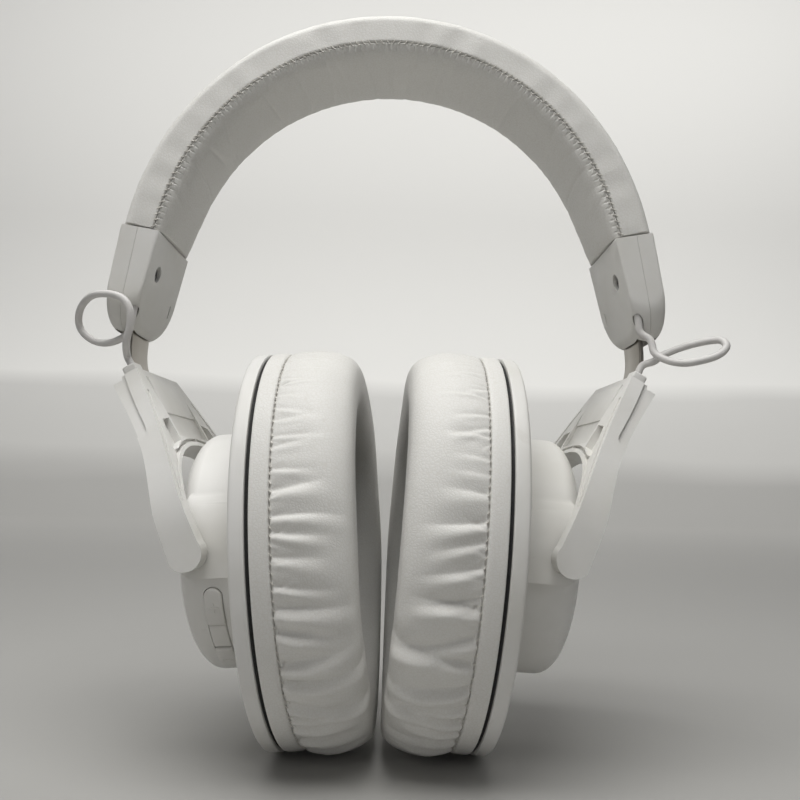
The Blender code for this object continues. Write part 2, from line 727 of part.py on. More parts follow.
def main():
    clear_scene()
    parts = collection("headphones")
    white = material("white_plastic", (0.80, 0.79, 0.76), 0.42)
    looks = materials()
    for name, obj in headband_pieces().items():
        obj.data.materials.append(looks[name])
        parts.objects.link(obj)
        bpy.context.scene.collection.objects.unlink(obj)
    shared = shared_pieces()
    for side, flip in (("right", 1), ("left", -1)):
        empties = joint_empties(parts, side, flip)
        for name, (joint, built) in {**shared, **own_pieces(side)}.items():
            if not built.data.materials:
                built.data.materials.append(looks.get(name, white))
            full_name = name if name in KEY_ANGLES else f"{side}_{name}"
            built.name = "built"
            obj = bpy.data.objects.new(full_name, built.data)
            parts.objects.link(obj)
            obj.parent = empties[joint]
            obj.matrix_world = Matrix.Diagonal((flip, 1, 1, 1))
    for built in list(bpy.context.scene.collection.objects):
        bpy.data.objects.remove(built, do_unlink=True)
    for obj in parts.objects:
        if obj.type == "MESH":
            obj.data.shade_smooth()
            obj.data.set_sharp_from_angle(angle=math.radians(32))
    bpy.context.view_layer.update()


main()
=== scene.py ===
"""Looks of the over-ear headphones: fine meshes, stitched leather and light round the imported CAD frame.

Lengths are in millimetres, in the same local frames as the CAD's, and become metres in mesh_of().
One side is built at the right and mirrored to the left, except what differs between the sides.
"""

import math

import bmesh
import bpy
import numpy as np
from mathutils import Matrix, Vector


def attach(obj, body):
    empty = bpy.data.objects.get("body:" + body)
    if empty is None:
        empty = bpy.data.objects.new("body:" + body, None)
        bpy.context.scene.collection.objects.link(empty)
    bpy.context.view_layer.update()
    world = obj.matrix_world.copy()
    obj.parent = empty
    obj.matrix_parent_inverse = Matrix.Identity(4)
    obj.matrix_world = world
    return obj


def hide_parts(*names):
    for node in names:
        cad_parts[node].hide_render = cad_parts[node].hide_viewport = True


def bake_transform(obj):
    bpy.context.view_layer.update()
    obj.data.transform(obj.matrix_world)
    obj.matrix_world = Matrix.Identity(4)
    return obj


MM = 0.001

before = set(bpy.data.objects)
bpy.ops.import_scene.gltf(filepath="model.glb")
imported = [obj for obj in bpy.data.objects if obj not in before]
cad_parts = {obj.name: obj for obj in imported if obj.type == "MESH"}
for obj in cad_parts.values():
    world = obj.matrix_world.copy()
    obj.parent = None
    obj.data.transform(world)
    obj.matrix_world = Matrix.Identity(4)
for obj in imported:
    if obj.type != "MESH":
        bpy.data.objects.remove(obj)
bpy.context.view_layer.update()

# Driving sizes, the same as the CAD's -------------------------------------------------

CUP_HEIGHT = 51.2
CUP_X = 25.65
CUP_TILT = math.radians(4.2)
CUP_TOE = math.radians(3.0)
OVAL = 0.864
RIM_R = 51.0
DRUM_R = 30.4
DRUM_TOP = 21.1
DRUM_EDGE = (9.2, 5.6)
DISC_R = 20.8
BOSS_FACE = 31.0
PIVOT_UP = 1.6
PIVOT_OUT = 16.0
PIN_R = 1.6
KEY_ANGLES = {
    "key_volume_up": (13.0, 30.55),
    "key_function": (31.05, 45.0),
    "key_volume_down": (45.5, 63.0),
}
KEY_LOW, KEY_HIGH = 9.6, 13.8
KEY_PROUD = 0.8

YOKE_LEAN = math.radians(29.4)
YOKE_LENGTH = 49.3
YOKE_OUTSIDE = [
    (15.6, 0), (19.2, 6), (22.6, 12), (27.4, 20), (31.4, 27),
    (34.4, 34), (35.9, 40), (36.3, 46), (36.4, 56),
]
YOKE_INSIDE = [
    (31.5, 56), (31.5, 47), (31.45, 41), (29.2, 35.5), (24.3, 29.8),
    (16.8, 25.6), (8.4, 23.2), (0, 22.5),
]
YOKE_OUTER_EDGE = [(0, 3.9), (10, 2.0), (18, 0.8), (24, 0.4), (30, 1.0), (38, 2.5)]
YOKE_INNER_EDGE = [(38, -4.5), (30, -5.0), (22, -5.1), (12, -4.7), (0, -3.9)]
ARM_END_R = 4.1

BAND_W = 29.0
CAP_TOP = (64.7, 82.0)
CAP_LEAN = math.radians(9.5)
CAP_LENGTH = 27.5
CAP_THICK = 8.9
CAP_CORNER = 10.0
CAP_BULGE = 3.6
CAP_WEDGE = (1.3, 20.0)
CAP_EDGE = [
    (0, 0.45), (0.06, 0.22), (0.2, 0.07), (0.4, 0.0), (0.8, 0.0), (1.4, 0.0), (2.1, 0.0), (2.9, 0.0), (3.7, 0.0),
]
SCREW_AT = (-6.5, -9.9)

SLIDE_LEAN = math.radians(5.5)
SLIDE_AT = (67.7, 54.0)
STRIP_W = 14.0
STRIP_T = 1.2
STRIP_UP = 33.5
STRIP_BEND = [(0, 0), (0.1, -3.4), (-0.35, -6.6), (-1.5, -9.6), (-3.0, -12.4)]
STRIP_TAIL = 7.0

ARCH_CENTRE = 45.9
ARCH_R = (84.6, -12.15, -0.62)
ARCH_START = 28.6
SEAM_IN = 8.2  # the headband's seam, inward of its outer face

# Link cord: its holes, and its free route as (outward, depth, height above the cup's centre)
CORD_R = 0.95
CAP_CORD = (-12.5, -3.0)
YOKE_CORD = (-12.8, -2.2)
CABLE_TOP = 1.8
LINK_LOOP = {
    "left": [
        (68.1, -9.0, 54.4), (72.9, -6.6, 52.8), (77.7, -4.6, 53.3), (81.7, -3.4, 55.9),
        (82.7, -4.4, 59.1), (80.6, -8.0, 62.2), (76.2, -12.8, 63.9), (71.0, -16.2, 63.7),
        (66.6, -17.4, 62.3), (64.6, -17.6, 59.4), (64.6, -16.8, 55.4), (65.9, -15.0, 51.6),
    ],
    "right": [
        (68.1, -13.6, 54.6), (68.8, -14.6, 51.2), (71.3, -16.6, 49.0), (75.0, -18.8, 48.0),
        (79.5, -20.6, 48.7), (82.8, -21.0, 50.0), (84.9, -20.2, 52.1), (84.6, -18.4, 53.9),
        (82.6, -16.2, 54.3), (79.1, -13.4, 53.8), (75.7, -11.6, 52.8), (71.9, -11.0, 51.1),
        (69.3, -12.0, 49.3),
    ],
}
STITCH_PITCH = 1.85


def local_frame(origin, x_axis, y_axis, z_axis):
    """The matrix that carries a local frame to the world, in millimetres."""
    turn = Matrix((x_axis, y_axis, z_axis)).transposed().to_4x4()
    return Matrix.Translation(Vector(origin)) @ turn


DEPTH = Vector((-math.sin(CUP_TOE), math.cos(CUP_TOE), 0))
LEVEL = Vector((math.cos(CUP_TOE), math.sin(CUP_TOE), 0))
UP = Vector((0, 0, 1))
CUP_FRAME = local_frame(
    (CUP_X, 0, CUP_HEIGHT),
    DEPTH,
    LEVEL * math.sin(CUP_TILT) + UP * math.cos(CUP_TILT),
    LEVEL * math.cos(CUP_TILT) - UP * math.sin(CUP_TILT),
)
PIVOT = CUP_FRAME @ Vector((0, PIVOT_UP, PIVOT_OUT))
YOKE_UP = LEVEL * math.sin(YOKE_LEAN) + UP * math.cos(YOKE_LEAN)
YOKE_OUT = LEVEL * math.cos(YOKE_LEAN) - UP * math.sin(YOKE_LEAN)
YOKE_FRAME = local_frame(PIVOT + YOKE_UP * YOKE_LENGTH, DEPTH, YOKE_UP, YOKE_OUT)
CAP_UP = Vector((-math.sin(CAP_LEAN), 0, math.cos(CAP_LEAN)))
CAP_OUT = Vector((math.cos(CAP_LEAN), 0, math.sin(CAP_LEAN)))
CAP_FRAME = local_frame((CAP_TOP[0], 0, CAP_TOP[1] + CUP_HEIGHT), Vector((0, 1, 0)), CAP_UP, CAP_OUT)
SLIDE_UP = Vector((-math.sin(SLIDE_LEAN), 0, math.cos(SLIDE_LEAN)))
SLIDE_OUT = Vector((math.cos(SLIDE_LEAN), 0, math.sin(SLIDE_LEAN)))


# Materials ----------------------------------------------------------------------------

class Shader:
    """A Principled material with short calls for the nodes that this scene uses."""

    def __init__(self, name, colour, roughness, metallic=0.0):
        self.material = bpy.data.materials.new(name)
        self.material.use_nodes = True
        self.tree = self.material.node_tree
        self.base = self.tree.nodes["Principled BSDF"]
        self.base.inputs["Base Color"].default_value = (*colour, 1)
        self.base.inputs["Roughness"].default_value = roughness
        self.base.inputs["Metallic"].default_value = metallic
        self.where = self.tree.nodes.new("ShaderNodeTexCoord").outputs["Object"]
        self.bump = None

    def node(self, kind, **sockets):
        made = self.tree.nodes.new(kind)
        for key, value in sockets.items():
            self.put(made, key, value)
        return made

    def put(self, node, key, value):
        socket = node.inputs[key]
        if isinstance(value, bpy.types.NodeSocket):
            self.tree.links.new(value, socket)
        else:
            socket.default_value = value

    def stretched(self, scale, turn=(0, 0, 0)):
        made = self.node("ShaderNodeMapping", Vector=self.where, Scale=scale)
        made.inputs["Rotation"].default_value = turn
        return made.outputs["Vector"]

    def noise(self, scale, detail=3.0, vector=None, distortion=0.0):
        made = self.node("ShaderNodeTexNoise", Vector=vector or self.where)
        made.inputs["Scale"].default_value = scale
        made.inputs["Detail"].default_value = detail
        made.inputs["Distortion"].default_value = distortion
        return made.outputs["Fac"]

    def cells(self, scale, vector=None, feature="DISTANCE_TO_EDGE"):
        made = self.node("ShaderNodeTexVoronoi", Vector=vector or self.where)
        made.feature = feature
        made.inputs["Scale"].default_value = scale
        return made.outputs["Distance"]

    def wave(self, scale, vector=None, direction="X"):
        made = self.node("ShaderNodeTexWave", Vector=vector or self.where)
        made.bands_direction = direction
        made.inputs["Scale"].default_value = scale
        return made.outputs["Fac"]

    def ramp(self, fac, *stops):
        made = self.node("ShaderNodeValToRGB", Fac=fac)
        ramp = made.color_ramp
        while len(ramp.elements) < len(stops):
            ramp.elements.new(0.5)
        for element, (place, value) in zip(ramp.elements, stops):
            element.position = place
            rgb = value if isinstance(value, tuple) else (value,) * 3
            element.color = (*rgb, 1)
        return made.outputs["Color"]

    def math(self, operation, a, b):
        made = self.tree.nodes.new("ShaderNodeMath")
        made.operation = operation
        for socket, value in zip(made.inputs, (a, b)):
            if isinstance(value, bpy.types.NodeSocket):
                self.tree.links.new(value, socket)
            else:
                socket.default_value = value
        return made.outputs[0]

    def mix(self, fac, a, b, blend="MIX"):
        made = self.tree.nodes.new("ShaderNodeMix")
        made.data_type = "RGBA"
        made.blend_type = blend
        for index, value in ((0, fac), (6, a), (7, b)):
            if isinstance(value, bpy.types.NodeSocket):
                self.tree.links.new(value, made.inputs[index])
            elif index:
                made.inputs[index].default_value = (*value, 1)
            else:
                made.inputs[0].default_value = value
        return made.outputs[2]

    def colour(self, value):
        self.put(self.base, "Base Color", value)

    def rough(self, value):
        self.put(self.base, "Roughness", value)

    def raise_by(self, height, depth, strength=1.0):
        """Adds a bump of that depth in metres on top of the earlier ones."""
        made = self.node("ShaderNodeBump", Height=height, Distance=depth, Strength=strength)
        if self.bump:
            self.tree.links.new(self.bump, made.inputs["Normal"])
        self.bump = made.outputs["Normal"]
        self.put(self.base, "Normal", self.bump)

    def set(self, **values):
        for key, value in values.items():
            self.base.inputs[key.replace("_", " ")].default_value = value


def plastic(name, colour, roughness=0.42):
    """Fine matte moulded plastic: spark-eroded texture, faint mottling, handling marks."""
    s = Shader(name, colour, roughness)
    light = tuple(c * 1.03 for c in colour)
    dull = (colour[0] * 0.93, colour[1] * 0.925, colour[2] * 0.90)
    mottled = s.ramp(s.noise(38.0, 4), (0.35, dull), (0.62, light))
    marks = s.ramp(s.noise(120.0, 6, distortion=1.2), (0.69, 0.0), (0.76, 0.55))
    grime = s.mix(marks, mottled, (colour[0] * 0.82, colour[1] * 0.80, colour[2] * 0.76))
    s.colour(s.mix(0.55, mottled, grime))
    s.rough(s.ramp(s.noise(260.0, 4), (0.3, roughness - 0.06), (0.7, roughness + 0.08)))
    s.raise_by(s.noise(3600.0, 2), 0.00003, 0.45)
    s.raise_by(s.noise(420.0, 3), 0.00004, 0.25)
    s.set(Specular_IOR_Level=0.45)
    return s.material


def leather(name, colour, grain=1250.0):
    """Soft artificial leather: warped pebble grain, fine creases and worn, slightly glossy highs."""
    s = Shader(name, colour, 0.5)
    warp = s.node("ShaderNodeTexNoise", Vector=s.where)
    warp.inputs["Scale"].default_value = 500.0
    warp.inputs["Detail"].default_value = 2.0
    shift = s.node("ShaderNodeVectorMath")
    shift.operation = "SCALE"
    s.tree.links.new(warp.outputs["Color"], shift.inputs[0])
    shift.inputs["Scale"].default_value = 0.0011
    moved = s.node("ShaderNodeVectorMath")
    moved.operation = "ADD"
    s.tree.links.new(s.where, moved.inputs[0])
    s.tree.links.new(shift.outputs[0], moved.inputs[1])
    pebble = s.cells(grain, moved.outputs[0])
    pores = s.cells(grain * 2.3, moved.outputs[0])
    hide = s.ramp(s.noise(55.0, 4), (0.3, tuple(c * 0.95 for c in colour)),
                  (0.7, tuple(min(1.0, c * 1.02) for c in colour)))
    valleys = s.ramp(pebble, (0.0, (colour[0] * 0.88, colour[1] * 0.86, colour[2] * 0.82)),
                     (0.12, colour))
    s.colour(s.mix(0.45, hide, valleys))
    s.rough(s.ramp(pebble, (0.0, 0.62), (0.22, 0.43)))
    s.raise_by(s.ramp(pebble, (0.0, 0.0), (0.28, 1.0)), 0.00007, 0.32)
    s.raise_by(s.ramp(pores, (0.0, 0.0), (0.3, 1.0)), 0.00003, 0.25)
    s.raise_by(s.noise(300.0, 4, distortion=0.8), 0.00009, 0.25)
    s.set(Specular_IOR_Level=0.42, Sheen_Weight=0.05, Sheen_Roughness=0.5)
    return s.material


def thread(name, colour):
    s = Shader(name, colour, 0.7)
    twist = s.wave(1500.0, s.stretched((1, 1, 1), (0.6, 0.4, 0.7)))
    s.colour(s.ramp(twist, (0.2, tuple(c * 0.8 for c in colour)), (0.8, colour)))
    s.raise_by(twist, 0.00008, 0.7)
    return s.material


def steel(name, colour, roughness=0.34):
    """Brushed along the world's vertical, with faint scratches."""
    s = Shader(name, colour, roughness, 1.0)
    grain = s.noise(900.0, 4, s.stretched((1, 1, 0.02)))
    scratch = s.ramp(s.noise(160.0, 2, s.stretched((1, 1, 0.05), (0.2, 0.1, 0))), (0.62, 0.0), (0.66, 1.0))
    s.colour(s.mix(s.math("MULTIPLY", scratch, 0.2), s.ramp(grain, (0.3, tuple(c * 0.88 for c in colour)),
             (0.7, tuple(c * 1.06 for c in colour))), tuple(c * 1.25 for c in colour)))
    s.rough(s.ramp(grain, (0.3, roughness - 0.06), (0.7, roughness + 0.1)))
    s.raise_by(grain, 0.00003, 0.5)
    return s.material


def foam(name, colour):
    s = Shader(name, colour, 0.85)
    pores = s.cells(2600.0, feature="F1")
    s.colour(s.ramp(pores, (0.1, tuple(c * 0.5 for c in colour)), (0.6, tuple(c * 1.6 for c in colour))))
    s.raise_by(pores, 0.0001, 0.8)
    return s.material


def woven(name, colour):
    """Acoustic cloth: two crossed sets of fine threads."""
    s = Shader(name, colour, 0.9)
    over = s.wave(1400.0, direction="Y")
    under = s.wave(1400.0, direction="Z")
    weave = s.math("MAXIMUM", over, under)
    s.colour(s.ramp(weave, (0.3, tuple(c * 0.3 for c in colour)), (0.9, tuple(c * 1.5 for c in colour))))
    s.raise_by(weave, 0.0001, 0.8)
    s.set(Sheen_Weight=0.2)
    return s.material


def vinyl(name, colour):
    """The link cord's soft jacket: smooth, faintly mottled, slightly dusty."""
    s = Shader(name, colour, 0.48)
    cloud = s.noise(260.0, 4)
    s.colour(s.ramp(cloud, (0.3, tuple(c * 0.92 for c in colour)), (0.7, tuple(c * 1.03 for c in colour))))
    s.rough(s.ramp(cloud, (0.3, 0.42), (0.7, 0.56)))
    s.raise_by(s.noise(1800.0, 2), 0.00003, 0.3)
    return s.material


def board_look(name):
    s = Shader(name, (0.02, 0.12, 0.06), 0.4)
    tracks = s.ramp(s.cells(260.0), (0.03, (0.35, 0.28, 0.1)), (0.05, (0.015, 0.11, 0.05)))
    s.colour(tracks)
    s.raise_by(s.cells(260.0), 0.00005, 0.4)
    return s.material


def wrap_look(name, colour):
    s = Shader(name, colour, 0.32)
    s.rough(s.ramp(s.noise(300.0, 3), (0.3, 0.26), (0.7, 0.42)))
    s.raise_by(s.noise(200.0, 3, distortion=2.0), 0.0001, 0.4)
    return s.material


WHITE = (0.755, 0.748, 0.728)
HIDE = (0.770, 0.762, 0.735)
LOOKS = {
    "plastic": plastic("matte_white_plastic", WHITE),
    "keys": plastic("key_plastic", (0.72, 0.71, 0.69), 0.36),
    "leather": leather("white_leather", HIDE),
    "thread": thread("white_thread", (0.74, 0.72, 0.67)),
    "steel": steel("slider_metal", (0.40, 0.375, 0.335)),
    "dark_metal": steel("screw_metal", (0.20, 0.20, 0.21), 0.3),
    "foam": foam("black_foam", (0.012, 0.012, 0.012)),
    "trim": plastic("gap_ring_plastic", (0.03, 0.03, 0.03), 0.35),
    "cloth": woven("acoustic_cloth", (0.035, 0.035, 0.037)),
    "vinyl": vinyl("cord_jacket", (0.70, 0.685, 0.67)),
    "film": wrap_look("diaphragm_film", (0.5, 0.5, 0.47)),
    "board": board_look("board_green"),
    "cell": wrap_look("battery_wrap", (0.22, 0.24, 0.27)),
}


# Mesh helpers -------------------------------------------------------------------------

def finish_mesh(mesh, angle=35):
    mesh.shade_smooth()
    mesh.set_sharp_from_angle(angle=math.radians(angle))
    return mesh


def signed_volume(points, faces):
    total = 0.0
    for face in faces:
        a = points[face[0]]
        for one, two in zip(face[1:], face[2:]):
            total += np.dot(a, np.cross(points[one], points[two]))
    return total


def grid_faces(rows, columns, wrap_rows, wrap_columns):
    """Quads over a grid of points, and the caps of its open ends."""
    i, j = np.meshgrid(
        np.arange(rows if wrap_rows else rows - 1),
        np.arange(columns if wrap_columns else columns - 1), indexing="ij",
    )
    ni, nj = (i + 1) % rows, (j + 1) % columns
    return np.stack([i * columns + j, i * columns + nj, ni * columns + nj, ni * columns + j], -1).reshape(-1, 4)


def mesh_of(name, points, faces, matrix=None):
    """A mesh from millimetre points in a local frame, given in metres in the world."""
    mesh = bpy.data.meshes.new(name)
    mesh.from_pydata(np.asarray(points, float).reshape(-1, 3).tolist(), [], [list(map(int, f)) for f in faces])
    if matrix is not None:
        mesh.transform(matrix)
    mesh.transform(Matrix.Scale(MM, 4))
    mesh.validate()
    return mesh


def turned_inside_out(points, quads):
    p = points.reshape(-1, 3)
    a, b, c, d = (p[quads[:, k]] for k in range(4))
    return (np.einsum("ij,ij->i", a, np.cross(b, c)).sum() + np.einsum("ij,ij->i", a, np.cross(c, d)).sum()) < 0


def surface(name, grid, wrap_rows=False, wrap_columns=False, caps=False, matrix=None, angle=35):
    """A smooth surface over a grid of points, facing out, with its open row ends capped if asked."""
    rows, columns = grid.shape[:2]
    quads = grid_faces(rows, columns, wrap_rows, wrap_columns)
    flip = turned_inside_out(grid - grid.reshape(-1, 3).mean(0), quads)
    if flip:
        quads = quads[:, ::-1]
    faces = quads.tolist()
    if caps:
        first = list(range(columns))
        last = [(rows - 1) * columns + k for k in range(columns)]
        faces += [first if flip else first[::-1], last[::-1] if flip else last]
        if not flip:
            faces[-2], faces[-1] = first[::-1][::-1], last[::-1]
            faces[-2], faces[-1] = list(reversed(faces[-1])), list(reversed(faces[-2]))
    mesh = mesh_of(name, grid, faces, matrix)
    bm = bmesh.new()
    bm.from_mesh(mesh)
    bmesh.ops.recalc_face_normals(bm, faces=bm.faces)
    if (caps or wrap_columns and wrap_rows) and bm.calc_volume(signed=True) < 0:
        bmesh.ops.reverse_faces(bm, faces=bm.faces)
    bm.to_mesh(mesh)
    bm.free()
    return finish_mesh(mesh, angle)


def smooth_line(points, steps):
    """Points along a Catmull-Rom curve through the given ones."""
    points = [np.array(p, float) for p in points]
    ends = [2 * points[0] - points[1], *points, 2 * points[-1] - points[-2]]
    made = []
    for i in range(1, len(ends) - 2):
        a, b, c, d = ends[i - 1 : i + 3]
        for k in range(steps):
            t = k / steps
            made.append(0.5 * (2 * b + (c - a) * t + (2 * a - 5 * b + 4 * c - d) * t * t
                               + (3 * b - a - 3 * c + d) * t ** 3))
    return np.array([*made, points[-1]])


def even_line(points, count):
    """The same line with evenly spaced points."""
    points = np.asarray(points, float)
    along = np.concatenate([[0], np.cumsum(np.linalg.norm(np.diff(points, axis=0), axis=1))])
    at = np.linspace(0, along[-1], count)
    return np.stack([np.interp(at, along, points[:, k]) for k in range(points.shape[1])], -1)


def arc(centre, radius, first, last, steps):
    return [
        (centre[0] + radius * math.cos(math.radians(first + (last - first) * i / steps)),
         centre[1] + radius * math.sin(math.radians(first + (last - first) * i / steps)))
        for i in range(steps + 1)
    ]


def lathe(name, profile, sides, oval=1.0, matrix=None, angle=35):
    """A closed profile of (radius, height), turned about z and pressed into an oval along x."""
    turn = np.linspace(0, 2 * math.pi, sides, endpoint=False)
    profile = np.array(profile, float)
    grid = np.stack([
        np.outer(np.cos(turn), profile[:, 0]) * oval,
        np.outer(np.sin(turn), profile[:, 0]),
        np.outer(np.ones(sides), profile[:, 1]),
    ], -1)
    return surface(name, grid, wrap_rows=True, wrap_columns=True, matrix=matrix, angle=angle)


class Solid:
    """A working mesh in a local frame, in millimetres, cut and joined with the exact solver."""

    def __init__(self, bm):
        bmesh.ops.remove_doubles(bm, verts=bm.verts, dist=0.0005)
        bmesh.ops.recalc_face_normals(bm, faces=bm.faces)
        if bm.calc_volume(signed=True) < 0:
            bmesh.ops.reverse_faces(bm, faces=bm.faces)
        mesh = bpy.data.meshes.new("solid")
        bm.to_mesh(mesh)
        bm.free()
        self.obj = bpy.data.objects.new("solid", mesh)
        bpy.context.scene.collection.objects.link(self.obj)

    def apply(self):
        graph = bpy.context.evaluated_depsgraph_get()
        mesh = bpy.data.meshes.new_from_object(self.obj.evaluated_get(graph))
        self.obj.modifiers.clear()
        self.obj.data = mesh
        return self

    def combine(self, other, operation):
        modifier = self.obj.modifiers.new("cut", "BOOLEAN")
        modifier.operation = operation
        modifier.object = other.obj
        modifier.solver = "EXACT"
        self.apply()
        other.drop()
        return self

    def cut(self, *others):
        for other in others:
            self.combine(other, "DIFFERENCE")
        return self

    def join(self, *others):
        for other in others:
            self.combine(other, "UNION")
        return self

    def keep(self, other):
        return self.combine(other, "INTERSECT")

    def bevel(self, width, segments=3, angle=30):
        modifier = self.obj.modifiers.new("bevel", "BEVEL")
        modifier.width = width
        modifier.segments = segments
        modifier.limit_method = "ANGLE"
        modifier.angle_limit = math.radians(angle)
        modifier.miter_outer = "MITER_ARC"
        return self.apply()

    def move(self, matrix):
        self.obj.data.transform(matrix)
        if matrix.determinant() < 0:
            self.obj.data.flip_normals()
        return self

    def drop(self):
        bpy.data.objects.remove(self.obj, do_unlink=True)

    def mesh(self, name, matrix, angle=35):
        """The finished mesh in metres in the world."""
        bm = bmesh.new()
        bm.from_mesh(self.obj.data)
        bmesh.ops.remove_doubles(bm, verts=bm.verts, dist=0.0008)
        bmesh.ops.dissolve_degenerate(bm, dist=0.0008, edges=bm.edges)
        bmesh.ops.triangulate(bm, faces=[f for f in bm.faces if len(f.verts) > 4])
        mesh = bpy.data.meshes.new(name)
        bm.to_mesh(mesh)
        bm.free()
        self.drop()
        mesh.transform(matrix)
        mesh.transform(Matrix.Scale(MM, 4))
        return finish_mesh(mesh, angle)


def block(low, high):
    bm = bmesh.new()
    bmesh.ops.create_cube(bm, size=1)
    bmesh.ops.scale(bm, vec=[b - a for a, b in zip(low, high)], verts=bm.verts)
    bmesh.ops.translate(bm, vec=[(a + b) / 2 for a, b in zip(low, high)], verts=bm.verts)
    return Solid(bm)


def rod(radius, start, end, sides=48, end_radius=None):
    a, b = Vector(start), Vector(end)
    bm = bmesh.new()
    bmesh.ops.create_cone(bm, cap_ends=True, segments=sides, radius1=radius,
                          radius2=radius if end_radius is None else end_radius, depth=(b - a).length)
    turn = (b - a).to_track_quat("Z", "Y").to_matrix().to_4x4()
    bmesh.ops.transform(bm, matrix=Matrix.Translation((a + b) / 2) @ turn, verts=bm.verts)
    return Solid(bm)


def plate(outline, low, high):
    """A flat outline in x and y, from one z to another."""
    bm = bmesh.new()
    face = bm.faces.new([bm.verts.new((x, y, low)) for x, y in outline])
    grown = bmesh.ops.extrude_face_region(bm, geom=[face])
    verts = [e for e in grown["geom"] if isinstance(e, bmesh.types.BMVert)]
    bmesh.ops.translate(bm, vec=(0, 0, high - low), verts=verts)
    return Solid(bm)


def turned(profile, sides, oval=1.0):
    """A solid of revolution: the profile runs from the axis round and back to the axis."""
    bm = bmesh.new()
    rings = []
    for radius, height in profile:
        if radius < 1e-6:
            rings.append([bm.verts.new((0, 0, height))])
            continue
        rings.append([
            bm.verts.new((radius * math.cos(a) * oval, radius * math.sin(a), height))
            for a in (2 * math.pi * k / sides for k in range(sides))
        ])
    for one, two in zip(rings, rings[1:]):
        for k in range(sides):
            n = (k + 1) % sides
            corners = [one[k % len(one)], one[n % len(one)], two[n % len(two)], two[k % len(two)]]
            corners = list(dict.fromkeys(corners))
            if len(corners) > 2:
                bm.faces.new(corners)
    return Solid(bm)


def sector(inner, outer, low, high, first, last, steps=24):
    """A block bent round z: between two radii, two heights and two angles below the front."""
    bm = bmesh.new()
    bmesh.ops.create_cube(bm, size=1)
    along = [e for e in bm.edges if abs(e.verts[0].co.y - e.verts[1].co.y) > 0.5]
    bmesh.ops.subdivide_edges(bm, edges=along, cuts=steps - 1, use_grid_fill=True)
    for vertex in bm.verts:
        x, y, z = vertex.co
        radius = (inner + outer) / 2 + x * (outer - inner)
        angle = math.radians((first + last) / 2 + y * (last - first))
        vertex.co = (-radius * math.cos(angle), -radius * math.sin(angle), (low + high) / 2 + z * (high - low))
    bm.normal_update()
    return Solid(bm)


def tube(name, line, radius, sides=16):
    """A round wire along a line of world points, with flat capped ends."""
    line = np.asarray(line, float)
    ahead = np.gradient(line, axis=0)
    ahead /= np.linalg.norm(ahead, axis=1)[:, None]
    side = np.cross(ahead[0], [0.3, 0.2, 0.9])
    rings = []
    around = np.linspace(0, 2 * math.pi, sides, endpoint=False)
    for point, direction in zip(line, ahead):
        side = side - direction * side.dot(direction)
        side /= np.linalg.norm(side)
        other = np.cross(direction, side)
        rings.append(point + radius * (np.outer(np.cos(around), side) + np.outer(np.sin(around), other)))
    return surface(name, np.array(rings), wrap_columns=True, caps=True, angle=50)


def joined(name, meshes):
    """One mesh from several."""
    bm = bmesh.new()
    for mesh in meshes:
        bm.from_mesh(mesh)
        bpy.data.meshes.remove(mesh)
    made = bpy.data.meshes.new(name)
    bm.to_mesh(made)
    bm.free()
    return finish_mesh(made, 50)


def mirrored(mesh, name):
    made = mesh.copy()
    made.name = name
    made.transform(Matrix.Diagonal((-1, 1, 1, 1)))
    made.flip_normals()
    return finish_mesh(made)


def add(name, mesh, look, body, nodes=()):
    """A piece that rides on a CAD body and stands for those CAD nodes."""
    obj = bpy.data.objects.new(name, mesh)
    bpy.context.scene.collection.objects.link(obj)
    mesh.materials.clear()
    mesh.materials.append(LOOKS[look])
    if body:
        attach(obj, body)
    if nodes:
        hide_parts(*nodes)
    return obj


def add_both(name, mesh, look, group, node=None):
    """The piece at the right and its mirror image at the left."""
    other = mirrored(mesh, f"left_{name}")
    for side, shape in (("right", mesh), ("left", other)):
        add(f"{side}_{name}", shape, look, f"{side}_{group}", [f"{side}_{node}"] if node else [])


# Camera and light ---------------------------------------------------------------------

CAMERA_AT = (4.07, -216.8, 67.9)
CAMERA_RISE = math.radians(6.0)
CAMERA_ROLL = math.radians(1.0)
CAMERA_LENS = 36.1


def camera():
    data = bpy.data.cameras.new("camera")
    data.sensor_width = 36
    data.lens = CAMERA_LENS
    data.clip_start, data.clip_end = 0.005, 20
    obj = bpy.data.objects.new("camera", data)
    bpy.context.scene.collection.objects.link(obj)
    forward = Vector((0, math.cos(CAMERA_RISE), math.sin(CAMERA_RISE)))
    above = Vector((0, -math.sin(CAMERA_RISE), math.cos(CAMERA_RISE)))
    across = Vector((1, 0, 0))
    right = across * math.cos(CAMERA_ROLL) + above * math.sin(CAMERA_ROLL)
    upward = above * math.cos(CAMERA_ROLL) - across * math.sin(CAMERA_ROLL)
    turn = Matrix((right, upward, -forward)).transposed().to_4x4()
    obj.matrix_world = Matrix.Translation(Vector(CAMERA_AT) * MM) @ turn
    bpy.context.scene.camera = obj


def area_light(name, place, target, size, power, colour):
    data = bpy.data.lights.new(name, "AREA")
    data.shape = "RECTANGLE"
    data.size, data.size_y = size
    data.energy = power
    data.color = colour
    obj = bpy.data.objects.new(name, data)
    bpy.context.scene.collection.objects.link(obj)
    place, target = Vector(place), Vector(target)
    obj.matrix_world = Matrix.Translation(place) @ (target - place).to_track_quat("-Z", "Y").to_matrix().to_4x4()


